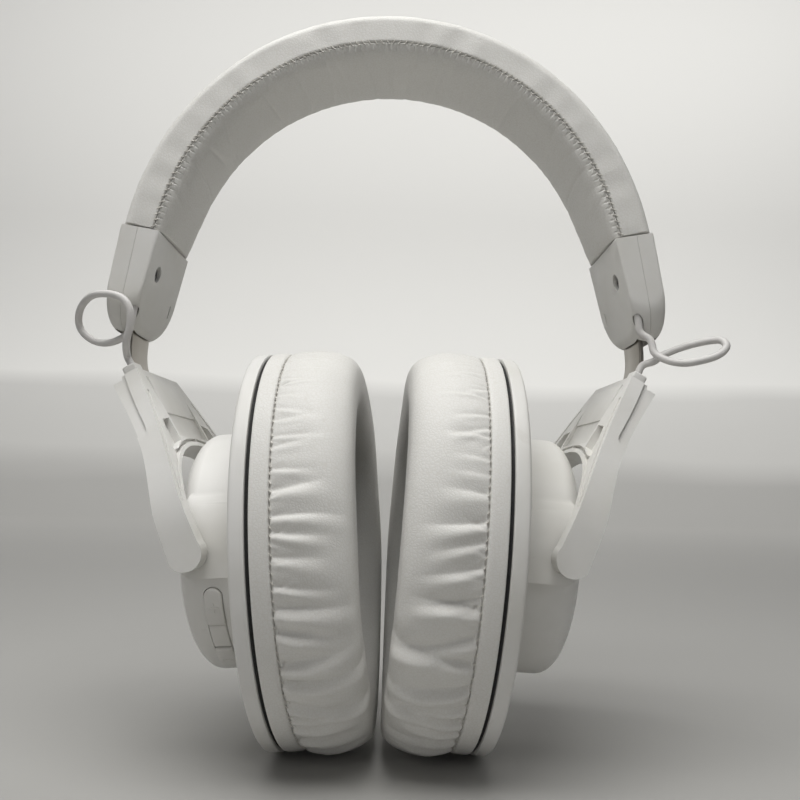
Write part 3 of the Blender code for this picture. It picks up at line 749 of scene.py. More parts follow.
def studio():
    """A pale sweep of paper with painted light in its colour, painted shade on the floor and a painted bright band
    across the wall, a near soft light above and weak fills.
    """
    bend = [(1.2 + 0.8 * math.sin(math.radians(a)), 0.8 - 0.8 * math.cos(math.radians(a))) for a in range(3, 91, 3)]
    profile = [(-3.0, 0.0), (1.2, 0.0), *bend, (2.0, 3.6)]
    points = [(x, y, z) for x in (-4.0, 4.0) for y, z in profile]
    count = len(profile)
    mesh = bpy.data.meshes.new("sweep")
    mesh.from_pydata(points, [], [(i, i + 1, count + i + 1, count + i) for i in range(count - 1)])
    mesh.shade_smooth()
    paper = Shader("sweep_paper_painted_light", (0.72, 0.715, 0.70), 0.8)
    # Painted light: the paper's colour is dark painted shade on the floor and low on the curve, then a painted bright
    # band across the wall, a little dimmer above it; the noise makes the band's edge uneven.
    height = paper.node("ShaderNodeSeparateXYZ", Vector=paper.where).outputs["Z"]
    cloud = paper.noise(2.6, 2, paper.stretched((0.35, 1, 1)))
    level = paper.math("ADD", height, paper.math("MULTIPLY", cloud, 0.12))
    paper.colour(paper.ramp(level, (0.0, (0.40, 0.395, 0.38)), (0.13, (0.43, 0.425, 0.41)), (0.20, (0.60, 0.595, 0.575)),
                            (0.36, (0.66, 0.655, 0.635)), (0.41, (0.86, 0.855, 0.83)), (0.9, (0.74, 0.735, 0.715))))
    mesh.materials.append(paper.material)
    sweep = bpy.data.objects.new("sweep", mesh)
    bpy.context.scene.collection.objects.link(sweep)
    sweep.location.z = -0.0002
    area_light("top", (-0.05, -0.16, 0.58), (0, 0, 0.1), (0.45, 0.35), 3.0, (1.0, 0.995, 0.975))
    area_light("back", (0.05, 0.9, 1.5), (-0.05, 1.98, 0.65), (3.6, 1.1), 31.0, (1.0, 0.995, 0.98))
    area_light("front", (-0.5, -1.1, 0.6), (0, 0, 0.12), (0.9, 0.7), 1.25, (1.0, 0.99, 0.97))
    world = bpy.data.worlds.new("studio")
    world.use_nodes = True
    world.node_tree.nodes["Background"].inputs["Color"].default_value = (0.95, 0.96, 1.0, 1)
    world.node_tree.nodes["Background"].inputs["Strength"].default_value = 0.10
    bpy.context.scene.world = world
    bpy.context.scene.view_settings.view_transform = "Standard"


# Link cords ---------------------------------------------------------------------------

def link_cord(side):
    """From its hole in the end cap round its loop into its hole in the yoke, on one smooth curve."""
    def at(matrix, hole, y):
        return matrix @ Vector((hole[0], y, hole[1]))

    free = [Vector((x, y, z + CUP_HEIGHT)) for x, y, z in LINK_LOOP[side]]
    route = [
        at(CAP_FRAME, CAP_CORD, -18.0), at(CAP_FRAME, CAP_CORD, -22.0), at(CAP_FRAME, CAP_CORD, -25.0),
        *free,
        at(YOKE_FRAME, YOKE_CORD, 4.6), at(YOKE_FRAME, YOKE_CORD, 1.6), at(YOKE_FRAME, YOKE_CORD, -3.4),
    ]
    line = even_line(smooth_line(route, 12), 130)
    if side == "left":
        line[:, 0] *= -1
    name = f"{side}_link_cord"
    mesh = tube(name, line, CORD_R)
    obj = add(name + "_jacket", mesh, "vinyl", None, [name])
    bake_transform(obj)


# Ear pads -----------------------------------------------------------------------------

PAD_PROFILE = [
    (45.5, -0.45), (49.1, -0.4), (50.6, -0.42), (50.95, -0.6), (51.05, -1.1), (51.05, -2.8), (50.95, -4.0),
    (50.75, -4.6), (50.4, -4.85), (49.85, -4.95), (50.3, -5.05), (50.6, -5.35), (50.85, -6.3), (51.05, -8.0),
    (51.1, -10.4), (51.05, -13.0), (50.6, -16.0), (49.6, -18.9), (48.1, -21.2), (46.0, -22.5), (43.4, -22.9),
    (40.2, -22.8), (37.0, -22.0), (34.2, -20.4), (32.0, -17.8), (30.7, -14.4), (30.1, -10.0), (30.0, -5.0),
    (30.0, -1.6), (31.5, -0.8), (38.0, -0.5),
]
PAD_SEAM = -4.95
PAD_TURNS = 860
PAD_STEPS = 4


def gathers(rng, count, angles, reach, depth, width):
    """Folds that start at the seam: angle, reach, depth, half-width, slant and sharpness of each."""
    first, last = angles
    for k in range(count):
        angle = first + (last - first) * (k + 0.5 + rng.uniform(-0.28, 0.28)) / count
        yield (angle, rng.uniform(*reach), rng.uniform(*depth), rng.uniform(*width), rng.uniform(-0.2, 0.3),
               rng.uniform(0.95, 1.35))


def pad_folds(rng):
    """The folds round the pad: fine at the top, broad and deep at the lower front."""
    found = []
    for first, last, count, reach, depth, width in (
        (58, 118, 19, (12, 21), (0.2, 0.42), (0.4, 0.75)),
        (118, 160, 9, (7, 16), (0.18, 0.45), (0.5, 1.0)),
        (160, 190, 5, (12, 20), (0.6, 1.1), (0.9, 1.5)),
        (190, 262, 11, (17, 28), (1.3, 2.1), (1.1, 1.9)),
        (262, 300, 7, (9, 18), (0.35, 0.8), (0.8, 1.4)),
        (300, 380, 14, (10, 20), (0.5, 1.2), (0.9, 1.7)),
        (20, 58, 8, (9, 16), (0.2, 0.5), (0.7, 1.3)),
    ):
        found += gathers(rng, count, (first, last), reach, depth, width)
    for k in range(46):  # short side creases at the seam, between the folds
        found.append((rng.uniform(0, 360), rng.uniform(3.0, 8), rng.uniform(0.12, 0.34), rng.uniform(0.3, 0.55),
                      rng.uniform(-0.7, 0.7), rng.uniform(1.0, 1.5)))
    return found


def pad_surface(side, seed):
    """The pad's closed surface as a grid, with its gathered folds, in the cup's frame."""
    rng = np.random.default_rng(seed)
    profile = smooth_line(PAD_PROFILE + PAD_PROFILE[:1], PAD_STEPS)[:-1]
    nxt, prev = np.roll(profile, -1, 0), np.roll(profile, 1, 0)
    along = nxt - prev
    normal = np.stack([-along[:, 1], along[:, 0]], -1)
    normal /= np.linalg.norm(normal, axis=1)[:, None]
    steps = np.linalg.norm(nxt - profile, axis=1)
    arc_at = np.concatenate([[0], np.cumsum(steps)[:-1]])
    seam = int(np.argmin(np.hypot(profile[:, 0] - 49.85, profile[:, 1] - PAD_SEAM)))
    from_seam = arc_at - arc_at[seam]
    if normal[np.argmax(profile[:, 0])][0] < 0:
        normal = -normal
    turn = np.linspace(0, 2 * math.pi, PAD_TURNS, endpoint=False)
    height = np.zeros((PAD_TURNS, len(profile)))
    mean_r = 46.5
    s = from_seam[None, :]
    for angle, reach, depth, width, slant, bend in pad_folds(rng):
        drift = slant * s + 0.022 * (bend - 1.2) * s * s * np.sign(slant)
        across = (np.degrees(turn)[:, None] - angle + 180) % 360 - 180
        across = np.radians(across) * mean_r - drift
        run = np.clip(s / reach, 0, 1)
        fade = np.where(s > 0, (1 - run ** 2) ** 1.3, 0) * np.clip(s / 1.4, 0, 1) ** 0.8
        wide = width * (0.6 + 0.8 * run)
        # One flank of each fold is steeper than the other.
        groove = -np.exp(-np.abs(across / np.where(across > 0, 0.6 * wide, 1.7 * wide)) ** bend)
        swell = 0.75 * np.exp(-((across - 1.5 * wide) / (1.1 * wide)) ** 2) \
            + 0.25 * np.exp(-((across + 2.6 * wide) / (1.6 * wide)) ** 2)
        swell *= 0.25 + 0.75 * np.clip(s / 6.0, 0, 1)
        height += depth * fade * (groove + swell)
    for wave in range(1, 9):  # slow unevenness of the stuffing
        a, b = rng.uniform(0, 2 * math.pi, 2)
        height += 0.07 * np.sin(wave * turn[:, None] + a) * np.sin(from_seam[None, :] * 0.11 * (1 + wave % 3) + b) \
            * np.clip(s / 4, 0, 1)
    outside = (from_seam > 0) & (profile[:, 1] < -5) & (profile[:, 0] > 30.5)
    height *= outside[None, :]
    pinch = np.exp(-(from_seam / 0.7) ** 2)  # each stitch pulls the seam in a little
    count = round(2 * math.pi * mean_r / 1.8)
    height += -0.16 * pinch[None, :] * (0.5 + 0.5 * np.cos(count * turn)[:, None])
    radius = profile[None, :, 0] + height * normal[None, :, 0]
    depth_z = profile[None, :, 1] + height * normal[None, :, 1]
    grid = np.stack([radius * np.cos(turn)[:, None] * OVAL, radius * np.sin(turn)[:, None], depth_z], -1)
    return grid, count


def to_world(points, matrix):
    m = np.array(matrix)
    return points @ m[:3, :3].T + m[:3, 3]


def press_flat(points, gap=0.35, soft=1.2):
    """Where the two pads press on each other, each is flattened softly on its own side."""
    x = points[..., 0] - gap
    points[..., 0] = gap + soft * np.logaddexp(0, x / soft * 1.6) / 1.6
    far = x > 6 * soft
    points[..., 0] = np.where(far, x + gap, points[..., 0])
    return points


def ear_pad(side, seed):
    grid, count = pad_surface(side, seed)
    world = press_flat(to_world(grid, CUP_FRAME))
    if side == "left":
        world[..., 0] *= -1
    mesh = surface(f"{side}_ear_pad_skin", world, wrap_rows=True, wrap_columns=True, angle=80)
    pad = add(f"{side}_ear_pad_skin", mesh, "leather", f"{side}_cup", [f"{side}_ear_pad"])
    stitches = []
    for k in range(count):
        a = 2 * math.pi * (k + 0.5) / count
        ends = []
        for out, (radius, z) in ((-1, (50.62, -4.5)), (1, (50.45, -5.4))):
            b = a + out * 0.4 / 46.5
            ends.append((radius * math.cos(b) * OVAL, radius * math.sin(b), z))
        middle = (50.33 * math.cos(a) * OVAL, 50.33 * math.sin(a), -4.95)
        line = to_world(smooth_line([ends[0], middle, ends[1]], 2), CUP_FRAME)
        if side == "left":
            line[:, 0] *= -1
        stitches.append(tube("stitch", line, 0.15, 6))
    add(f"{side}_ear_pad_stitches", joined(f"{side}_pad_stitches", stitches), "thread", f"{side}_cup")


# Cup shell ----------------------------------------------------------------------------

def rim(name):
    """The oval ring behind the pad and its shallow back."""
    profile = [
        (31.0, 0.9), (49.5, 0.52), (50.65, 0.54), (50.93, 0.66), (RIM_R, 0.95), (RIM_R, 2.2), (RIM_R, 3.35),
        (50.9, 3.75), (50.6, 4.05), (50.1, 4.25), (47.5, 4.55), (42.0, 5.1), (36.0, 5.65), (31.8, 5.95),
        (31.0, 5.6),
    ]
    fine = []
    for a, b in zip(profile, profile[1:] + profile[:1]):
        fine += [(a[0] + (b[0] - a[0]) * t, a[1] + (b[1] - a[1]) * t) for t in (0, 0.5)]
    return lathe(name, fine, 220, OVAL, CUP_FRAME, angle=40)


def drum(keys):
    """The round housing with its two pivot bosses, and slots for the keys and the socket."""
    wide, deep = DRUM_EDGE
    shoulder = [(DRUM_R - wide + wide * math.cos(a), DRUM_TOP - deep + deep * math.sin(a))
                for a in (math.pi / 2 * k / 14 for k in range(15))]
    body = turned([(0, 3.2), (DRUM_R + 1.0, 3.2), (DRUM_R + 0.9, 6.0), (DRUM_R + 0.35, 6.5), (DRUM_R, 7.3),
                   *shoulder, (0, DRUM_TOP)], 168)
    for side in (-1, 1):
        outline = [*arc((15.6, -1.6), 3.0, -90, 0, 14), *arc((14.6, 13.0), 3.0, 0, 90, 8), (6.4, 16.0), (6.4, -4.6)]
        boss = plate(outline, 22.0, BOSS_FACE)
        boss.move(Matrix(((0, 0, side, 0), (0, 1, 0, 0), (1, 0, 0, 0), (0, 0, 0, 1))))
        # Its face runs out upward into the round wall.
        runout = [(18, -6), (40, -6), *smooth_line([(BOSS_FACE, -5.0), (BOSS_FACE, 1.5), (30.6, 5.5), (29.6, 9.4),
                                                    (27.6, 13.4), (24.0, 17.0)], 5)[1:].tolist(), (18, 17.0)]
        runout[1] = (BOSS_FACE, -6)
        boss.keep(plate([(side * x, y) for x, y in runout], 0, 30))
        body.join(boss)
    inside = DRUM_R - 2.2
    body.cut(turned([(0, 0), (inside, 0), (inside, 15.1), (inside - 2, 17.3), (inside - 5, 18.7), (0, 18.7)], 96))
    body.cut(turned([(0, 20.0), (DISC_R + 0.4, 20.0), (DISC_R + 0.4, 23), (0, 23)], 168))
    for side in (-1, 1):
        body.cut(rod(PIN_R + 0.3, (side * 29.0, PIVOT_UP, PIVOT_OUT), (side * 33.0, PIVOT_UP, PIVOT_OUT)))
    if keys:
        for name in KEY_ANGLES:
            body.cut(key_block(name, 26, 33, 0.14))
        body.cut(block((-4.6, -34, 7.2), (4.6, -26, 10.8)))
    return body.bevel(0.22, 2, 32)


def key_block(name, inner, outer, spare=0.0):
    """A key, or its slot: a bar bent round the drum. The row's two ends are half round."""
    first, last = KEY_ANGLES[name]
    middle, half = (KEY_LOW + KEY_HIGH) / 2, (KEY_HIGH - KEY_LOW) / 2
    angles = np.linspace(first, last, 40)
    ease = 0.5 - 0.5 * np.cos(np.linspace(0, math.pi, 40))
    angles = first + (last - first) * ease
    rows = []
    for angle in angles:
        from_first = math.radians(angle - first) * DRUM_R
        from_last = math.radians(last - angle) * DRUM_R
        gap = {"key_volume_up": from_first, "key_volume_down": from_last}.get(name, half)
        tall = math.sqrt(max(half ** 2 - max(half - gap, 0) ** 2, 0.09)) + spare
        turn = math.radians(angle + math.degrees(spare / DRUM_R) * (2 * (angle - first) / (last - first) - 1))
        edge = min(0.4, 0.4 * tall)
        end = min(from_first, from_last) if not spare else 1.0
        top = outer - 0.35 * max(0.0, 1 - end / 0.5) ** 2
        section = [(inner, -tall), *((top - edge + edge * math.sin(a), -tall + edge - edge * math.cos(a))
                                     for a in (math.pi / 8 * k for k in range(5))),
                   *((top - edge + edge * math.cos(a), tall - edge + edge * math.sin(a))
                     for a in (math.pi / 8 * k for k in range(5))), (inner, tall)]
        rows.append([(-r * math.cos(turn), -r * math.sin(turn), middle + z) for r, z in section])
    return Solid(bm_of(surface("key", np.array(rows), wrap_columns=True, caps=True)))


def key(name):
    """One key with its raised mark. The middle key lies a little lower than its neighbours."""
    first, last = KEY_ANGLES[name]
    top = DRUM_R + (KEY_PROUD - 0.5 if name == "key_function" else KEY_PROUD)
    body = key_block(name, DRUM_R - 1.8, top)
    middle, turn = (first + last) / 2, math.degrees(1 / DRUM_R)
    high = (KEY_LOW + KEY_HIGH) / 2
    if name != "key_function":
        body.join(sector(top - 0.4, top + 0.2, high - 1.2, high + 1.2, middle - 0.16 * turn, middle + 0.16 * turn, 3))
    if name == "key_volume_up":
        body.join(sector(top - 0.4, top + 0.2, high - 0.16, high + 0.16, middle - 1.2 * turn, middle + 1.2 * turn, 6))
    return body.mesh(name, CUP_FRAME, 40)


def outer_disc():
    """The flat cap on the drum, with a fine turned ring near its edge."""
    edge = [(DISC_R - 0.55 + 0.55 * math.cos(a), 20.95 + 0.55 * math.sin(a))
            for a in (math.pi / 2 * k / 6 for k in range(7))]
    return turned([(0, 20.3), (DISC_R, 20.3), *edge, (DISC_R - 2.4, 21.5), (DISC_R - 2.55, 21.36),
                   (DISC_R - 2.75, 21.36), (DISC_R - 2.9, 21.5), (0, 21.5)], 168).mesh("disc", CUP_FRAME, 30)


def cup(side):
    group = f"{side}_cup"
    rim_mesh = rim(f"{side}_rim")
    drum_mesh = drum(side == "left").mesh(f"{side}_drum", CUP_FRAME, 38)
    disc_mesh = outer_disc()
    # The soft black seal shows as a dark line, with a thin glossy ring inside it.
    seal = lathe("seal", [(44.4, -0.35), (50.1, -0.35), (50.25, 0.1), (50.1, 0.48), (44.4, 0.48)], 200, OVAL, CUP_FRAME)
    wire = lathe("wire", [(50.17 + 0.16 * math.cos(a), 0.3 + 0.12 * math.sin(a))
                          for a in (2 * math.pi * k / 8 for k in range(8))], 200, OVAL, CUP_FRAME, 80)
    meshes = {"rim": (rim_mesh, "plastic", ["housing"]), "drum": (drum_mesh, "plastic", ["housing"]),
              "disc_face": (disc_mesh, "plastic", ["outer_disc"]), "seal": (seal, "foam", ["gasket"]),
              "seal_ring": (wire, "trim", ["gasket"])}
    for name, (mesh, look, nodes) in meshes.items():
        shape = mirrored(mesh, f"{side}_{name}") if side == "left" else mesh
        add(f"{side}_{name}", shape, look, group, [f"{side}_{n}" for n in nodes])


def keys():
    bodies = {"key_volume_up": "volume_up_button", "key_function": "function_button",
              "key_volume_down": "volume_down_button"}
    for name, body in bodies.items():
        add(name + "_cap", mirrored(key(name), name + "_cap"), "keys", body, [name])


def driver_pieces():
    """What can be seen through the ear opening: the acoustic cloth."""
    cloth = turned([(0, -1.3), (29.0, -1.3), (29.2, -1.1), (29.2, -0.8), (0, -0.8)], 96, OVAL)
    add_both("cloth_screen", cloth.mesh("cloth", CUP_FRAME), "cloth", "cup", "driver_cloth")


# Yoke and slider ----------------------------------------------------------------------

def offset_line(points, distance):
    """The line moved sideways, to its left for a positive distance."""
    points = np.asarray(points, float)
    ahead = np.gradient(points, axis=0)
    ahead /= np.linalg.norm(ahead, axis=1)[:, None]
    return points + distance * np.stack([-ahead[:, 1], ahead[:, 0]], -1)


def yoke():
    """The fork: a shell with a ribbed, panelled inner side and a raised cable channel on its front edge."""
    outside = [(x, -s) for x, s in smooth_line(YOKE_OUTSIDE, 5)]
    inside = [(x, -s) for x, s in smooth_line(YOKE_INSIDE, 6)]
    half = outside + inside
    body = plate(half + [(-x, y) for x, y in reversed(half[:-1])], -8, 8)
    outer = [tuple(p) for p in smooth_line(YOKE_OUTER_EDGE, 6)]
    inner = [tuple(p) for p in smooth_line(YOKE_INNER_EDGE, 6)]
    side_view = outer + arc((YOKE_LENGTH, 0), ARM_END_R, 75, -105, 22) + inner
    profile = plate([(-s, n) for s, n in side_view], -40, 40)
    body.keep(profile.move(Matrix(((0, 0, 1, 0), (1, 0, 0, 0), (0, 1, 0, 0), (0, 0, 0, 1)))))
    # The front shoulder's outer half is set back beside the raised cable channel, down to a rounded hook.
    along_x = Matrix(((0, 0, 1, 0), (1, 0, 0, 0), (0, 1, 0, 0), (0, 0, 0, 1)))
    border = smooth_line([(3.0, 0.0), (0.0, -0.2), (-7.0, -0.7), (-13.0, -1.4), (-17.0, -2.0), (-18.6, -1.8),
                          (-19.2, -0.8), (-18.9, 0.5), (-18.6, 2.0), (-18.4, 9)], 5).tolist()
    step = plate([*border, (3.0, 9)], -60, -14.6).move(along_x)
    for vertex in step.obj.data.vertices:
        vertex.co.x += vertex.co.y * 0.60
    body.cut(step)
    body.cut(block((-20, -1.0, 1.0), (20, 4, 9)))
    body.join(block((-15.5, -1.9, -3.9), (-10.9, CABLE_TOP, -0.1)).bevel(0.6, 4, 30))
    # Panels, ribs and pockets of the inner side
    body.cut(block((-12.3, -20.3, -9), (12.3, -2.2, -2.6)))
    rim_in, rim_out = (offset_line([p for p in outside if -38 < p[1] < -5], d) for d in (-2.5, -1.5))
    arch_near, arch_far = (offset_line([p for p in inside if p[1] > -37], d) for d in (-1.2, -2.1))
    for mirror in (1, -1):
        for near, far in ((rim_out, rim_in), (arch_near, arch_far)):
            groove = [*near.tolist(), *far[::-1].tolist()]
            groove = [(x, y) for x, y in groove if x > -0.01]
            body.cut(plate([(mirror * x, y) for x, y in groove], -9, -4.0))
        pocket = [(13.5, -15.0), (13.5, -21.6), (16.6, -22.9), (20.2, -25.0), (22.6, -26.6), (23.6, -23.2), (19.2, -15.8)]
        body.cut(plate([(mirror * x, y) for x, y in pocket], -9, -3.2))
    body.cut(rod(CORD_R + 0.3, (YOKE_CORD[0], 6, YOKE_CORD[1]), (YOKE_CORD[0], -6, YOKE_CORD[1])))
    for side in (-1, 1):
        body.cut(rod(PIN_R + 0.3, (side * 26, -YOKE_LENGTH, 0), (side * 35.3, -YOKE_LENGTH, 0)))
    strip = strip_grid(0.3, 4)
    body.move(YOKE_FRAME)
    cutter = Solid(bm_of(surface("space", strip, wrap_columns=True, caps=True)))
    body.cut(cutter)
    return body.bevel(0.3, 3, 35).mesh("yoke", Matrix(), 38)


def bm_of(mesh):
    """A bmesh in millimetres from a mesh in metres."""
    bm = bmesh.new()
    bm.from_mesh(mesh)
    bmesh.ops.scale(bm, vec=(1000, 1000, 1000), verts=bm.verts)
    bpy.data.meshes.remove(mesh)
    return bm


def yoke_cover():
    """The cover let into the yoke's inner side, in two levels with a step line."""
    body = block((-12.0, -13.1, -4.5), (12.0, -2.5, -3.4))
    body.join(block((-12.0, -20.0, -4.1), (12.0, -13.0, -3.4)))
    return body.bevel(0.18, 2, 30).mesh("yoke_cover", YOKE_FRAME, 38)


def strip_grid(spare=0.0, steps=1):
    """The slider strip: straight in the end cap above, bent inward along the yoke below."""
    start = Vector((SLIDE_AT[0], 0, SLIDE_AT[1] + CUP_HEIGHT))
    bend = [start + Vector((x, 0, z)) for x, z in STRIP_BEND]
    path = [start + SLIDE_UP * (STRIP_UP + spare), start + SLIDE_UP * 6, *bend,
            bend[-1] - Vector((YOKE_UP.x, 0, YOKE_UP.z)) * (STRIP_TAIL + spare)]
    path = smooth_line([(p.x, p.z) for p in path], steps)
    half, thick = STRIP_W / 2 + spare, STRIP_T / 2 + spare
    curve = min(0.35, thick * 0.6)
    section = [*arc((half - curve, thick - curve), curve, 0, 90, 3), *arc((curve - half, thick - curve), curve, 90, 180, 3),
               *arc((curve - half, curve - thick), curve, 180, 270, 3), *arc((half - curve, curve - thick), curve, 270, 360, 3)]
    rows = []
    ahead = np.gradient(path, axis=0)
    ahead /= np.linalg.norm(ahead, axis=1)[:, None]
    for (x, z), (dx, dz) in zip(path, ahead):
        rows.append([(x - dz * t, y, z + dx * t) for y, t in section])
    return np.array(rows)


def slider():
    return surface("slider", strip_grid(0.0, 6), wrap_columns=True, caps=True, angle=40)


# End cap ------------------------------------------------------------------------------

def cap_outline(lift, inset, steps=26):
    half = BAND_W / 2 - inset
    low = -CAP_LENGTH + CAP_CORNER + lift
    inner = BAND_W / 2 - CAP_CORNER
    sides = np.linspace(-inset, low, 12)[:-1]
    return [*((half, y) for y in sides), *arc((inner, low), CAP_CORNER - inset, 0, -90, steps),
            *arc((-inner, low), CAP_CORNER - inset, -90, -180, steps), *((-half, y) for y in sides[::-1])]


def cap_body():
    """The whole cap, in slices from its inner face to its outer face."""
    thick = CAP_THICK / 2
    levels = [(-thick + below, inset) for below, inset in CAP_EDGE]
    levels += [(0, 0)] + [(-z, inset) for z, inset in reversed(levels)]
    most, run = CAP_WEDGE
    rings = []
    for z, inset in levels:
        lift = CAP_BULGE * (1 - math.sqrt(1 - (0.98 * z / thick) ** 2))
        inward = max(-z / thick, 0)
        rings.append([(x, y, z - most * (1 + y / run) * inward) for x, y in cap_outline(lift, inset)])
    return Solid(bm_of(surface("cap", np.array(rings), wrap_columns=True, caps=True)))


def end_cap(outward):
    low, high = (0.035, 8) if outward else (-8, -0.035)
    body = cap_body().keep(block((-20, -40, low), (20, 5, high)))
    body.cut(block((-8.0, -40, -2.7), (8.0, 3, 2.7)))
    if not outward:
        x, y = SCREW_AT
        body.cut(rod(CORD_R + 0.3, (CAP_CORD[0], -15, CAP_CORD[1]), (CAP_CORD[0], -40, CAP_CORD[1])),
                 rod(2.2, (x, y, -7), (x, y, -3.6)), rod(1.15, (x, y, -4), (x, y, 2)),
                 block((9.9, -18.6, -6), (10.7, -14.9, -3.9)))
    return body.mesh("end_cap", CAP_FRAME, 35)


def screw():
    """A small countersunk screw with a cross recess."""
    head = turned([(0, 0.4), (1.9, 0.4), (1.9, 0.25), (1.7, 0.0), (0, 0.0)], 40)
    for turn in (0, math.pi / 2):
        head.cut(block((-1.2, -0.22, -0.3), (1.2, 0.22, 0.22)).move(Matrix.Rotation(turn, 4, "Z")))
    head.join(rod(0.85, (0, 0, 0.3), (0, 0, 1.3), 24))
    return head.mesh("screw", CAP_FRAME @ Matrix.Translation((*SCREW_AT, -4.3)), 35)


def arms():
    add_both("cap_outer_shell", end_cap(True), "plastic", "arm", "end_cap_outer")
    add_both("cap_inner_shell", end_cap(False), "plastic", "arm", "end_cap_inner")
    add_both("cap_screw", screw(), "dark_metal", "arm", "end_cap_screw")
    add_both("fork_shell", yoke(), "plastic", "fork", "yoke")
    add_both("fork_cover", yoke_cover(), "plastic", "fork", "yoke_cover")
    add_both("slide_strip", slider(), "steel", "fork", "slider")


# Headband -----------------------------------------------------------------------------

def arch_frames(count, first=ARCH_START, last=90.0):
    """Points and inward directions along half of the arch, from the right end to the crown."""
    angles = np.radians(np.linspace(first, last, count))
    radius = ARCH_R[0] + ARCH_R[1] * np.cos(2 * angles) + ARCH_R[2] * np.cos(4 * angles)
    slope = -2 * ARCH_R[1] * np.sin(2 * angles) - 4 * ARCH_R[2] * np.sin(4 * angles)
    point = np.stack([radius * np.cos(angles), CUP_HEIGHT + ARCH_CENTRE + radius * np.sin(angles)], -1)
    ahead = np.stack([slope * np.cos(angles) - radius * np.sin(angles),
                      slope * np.sin(angles) + radius * np.cos(angles)], -1)
    ahead /= np.linalg.norm(ahead, axis=1)[:, None]
    inward = np.stack([-ahead[:, 1], ahead[:, 0]], -1)
    return point, inward


def band_grid(point, inward, across, depth):
    """World points of a section (across, depth), either one for all or one for each step."""
    across = np.broadcast_to(across, (len(point), np.shape(across)[-1]))
    depth = np.broadcast_to(depth, across.shape)
    x = point[:, :1] + inward[:, :1] * depth
    z = point[:, 1:] + inward[:, 1:] * depth
    return np.stack([x, across, z], -1)


def half_band(name, grid, look, nodes):
    """Both halves of a headband piece, which meet at the crown."""
    rows, columns = grid.shape[:2]
    full = np.concatenate([grid, (grid * [-1, 1, 1])[-2::-1]], 0)
    whole = surface(name, full, wrap_columns=True, caps=True, angle=60)
    normals = np.zeros(len(whole.vertices) * 3, np.float32)
    whole.vertices.foreach_get("normal", normals)
    normals = normals.reshape(-1, 3)
    made = []
    for side, sign in (("right", 1), ("left", -1)):
        start = 0 if sign > 0 else rows - 1
        piece = full[start : start + rows]
        mesh = surface(f"{side}_{name}", piece, wrap_columns=True, caps=True, angle=60)
        crown = rows - 1 if sign > 0 else 0
        picked = normals[start * columns : (start + rows) * columns]
        loops = []
        for polygon in mesh.polygons:
            flat = len(polygon.vertices) > 4
            for v in polygon.vertices:
                loops.append(tuple(polygon.normal) if flat else tuple(picked[v]))
        mesh.normals_split_custom_set(loops)
        obj = add(f"{side}_{name}", mesh, look, None, nodes)
        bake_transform(obj)
        made.append(obj)
    return made


def band_length(point):
    return np.concatenate([[0], np.cumsum(np.linalg.norm(np.diff(point, axis=0), axis=1))])


def headband_cover():
    half, corner = BAND_W / 2, 2.3
    side = [(half, d) for d in np.linspace(corner + 0.5, SEAM_IN - 1.2, 6)]
    hem = [(half + 0.02, SEAM_IN - 0.6), (half - 0.02, SEAM_IN - 0.35), (half - 0.14, SEAM_IN - 0.17),
           (half - 0.45, SEAM_IN - 0.1)]
    corner_arc = [(half - corner + corner * math.sin(a), corner - corner * math.cos(a))
                  for a in (math.pi / 2 * k / 8 for k in range(9))]
    top = [(y, -0.35 * (1 - (y / (half - corner)) ** 2)) for y in np.linspace(0, half - corner, 9)[:-1]]
    quarter = top + corner_arc + side + hem + [(half - 2.5, SEAM_IN - 0.1)]
    section = quarter + [(-y, d) for y, d in reversed(quarter[1:])]
    across, depth = np.array(section).T
    point, inward = arch_frames(420)
    along = band_length(point)
    grid_depth = np.tile(depth, (len(point), 1))
    grid_across = np.tile(across, (len(point), 1))
    rng = np.random.default_rng(11)
    hem_part = np.clip((depth - (SEAM_IN - 1.4)) / 1.2, 0, 1)
    grid_depth += 0.07 * hem_part * np.cos(2 * math.pi * along / STITCH_PITCH)[:, None]
    skin = np.clip((depth - 1.0) / 3.0, 0, 1)
    for wave in range(1, 12):
        a, b = rng.uniform(0, 2 * math.pi, 2)
        grid_across += np.sign(across) * 0.035 * skin * np.sin(along[:, None] * wave * 0.07 + a + across * 0.1 + b)
        grid_depth += 0.03 * (1 - skin) * np.sin(along[:, None] * wave * 0.05 + a) * np.sin(across * 0.3 + b)
    half_band("headband_skin", band_grid(point, inward, grid_across, grid_depth), "leather", ["headband_cover"])


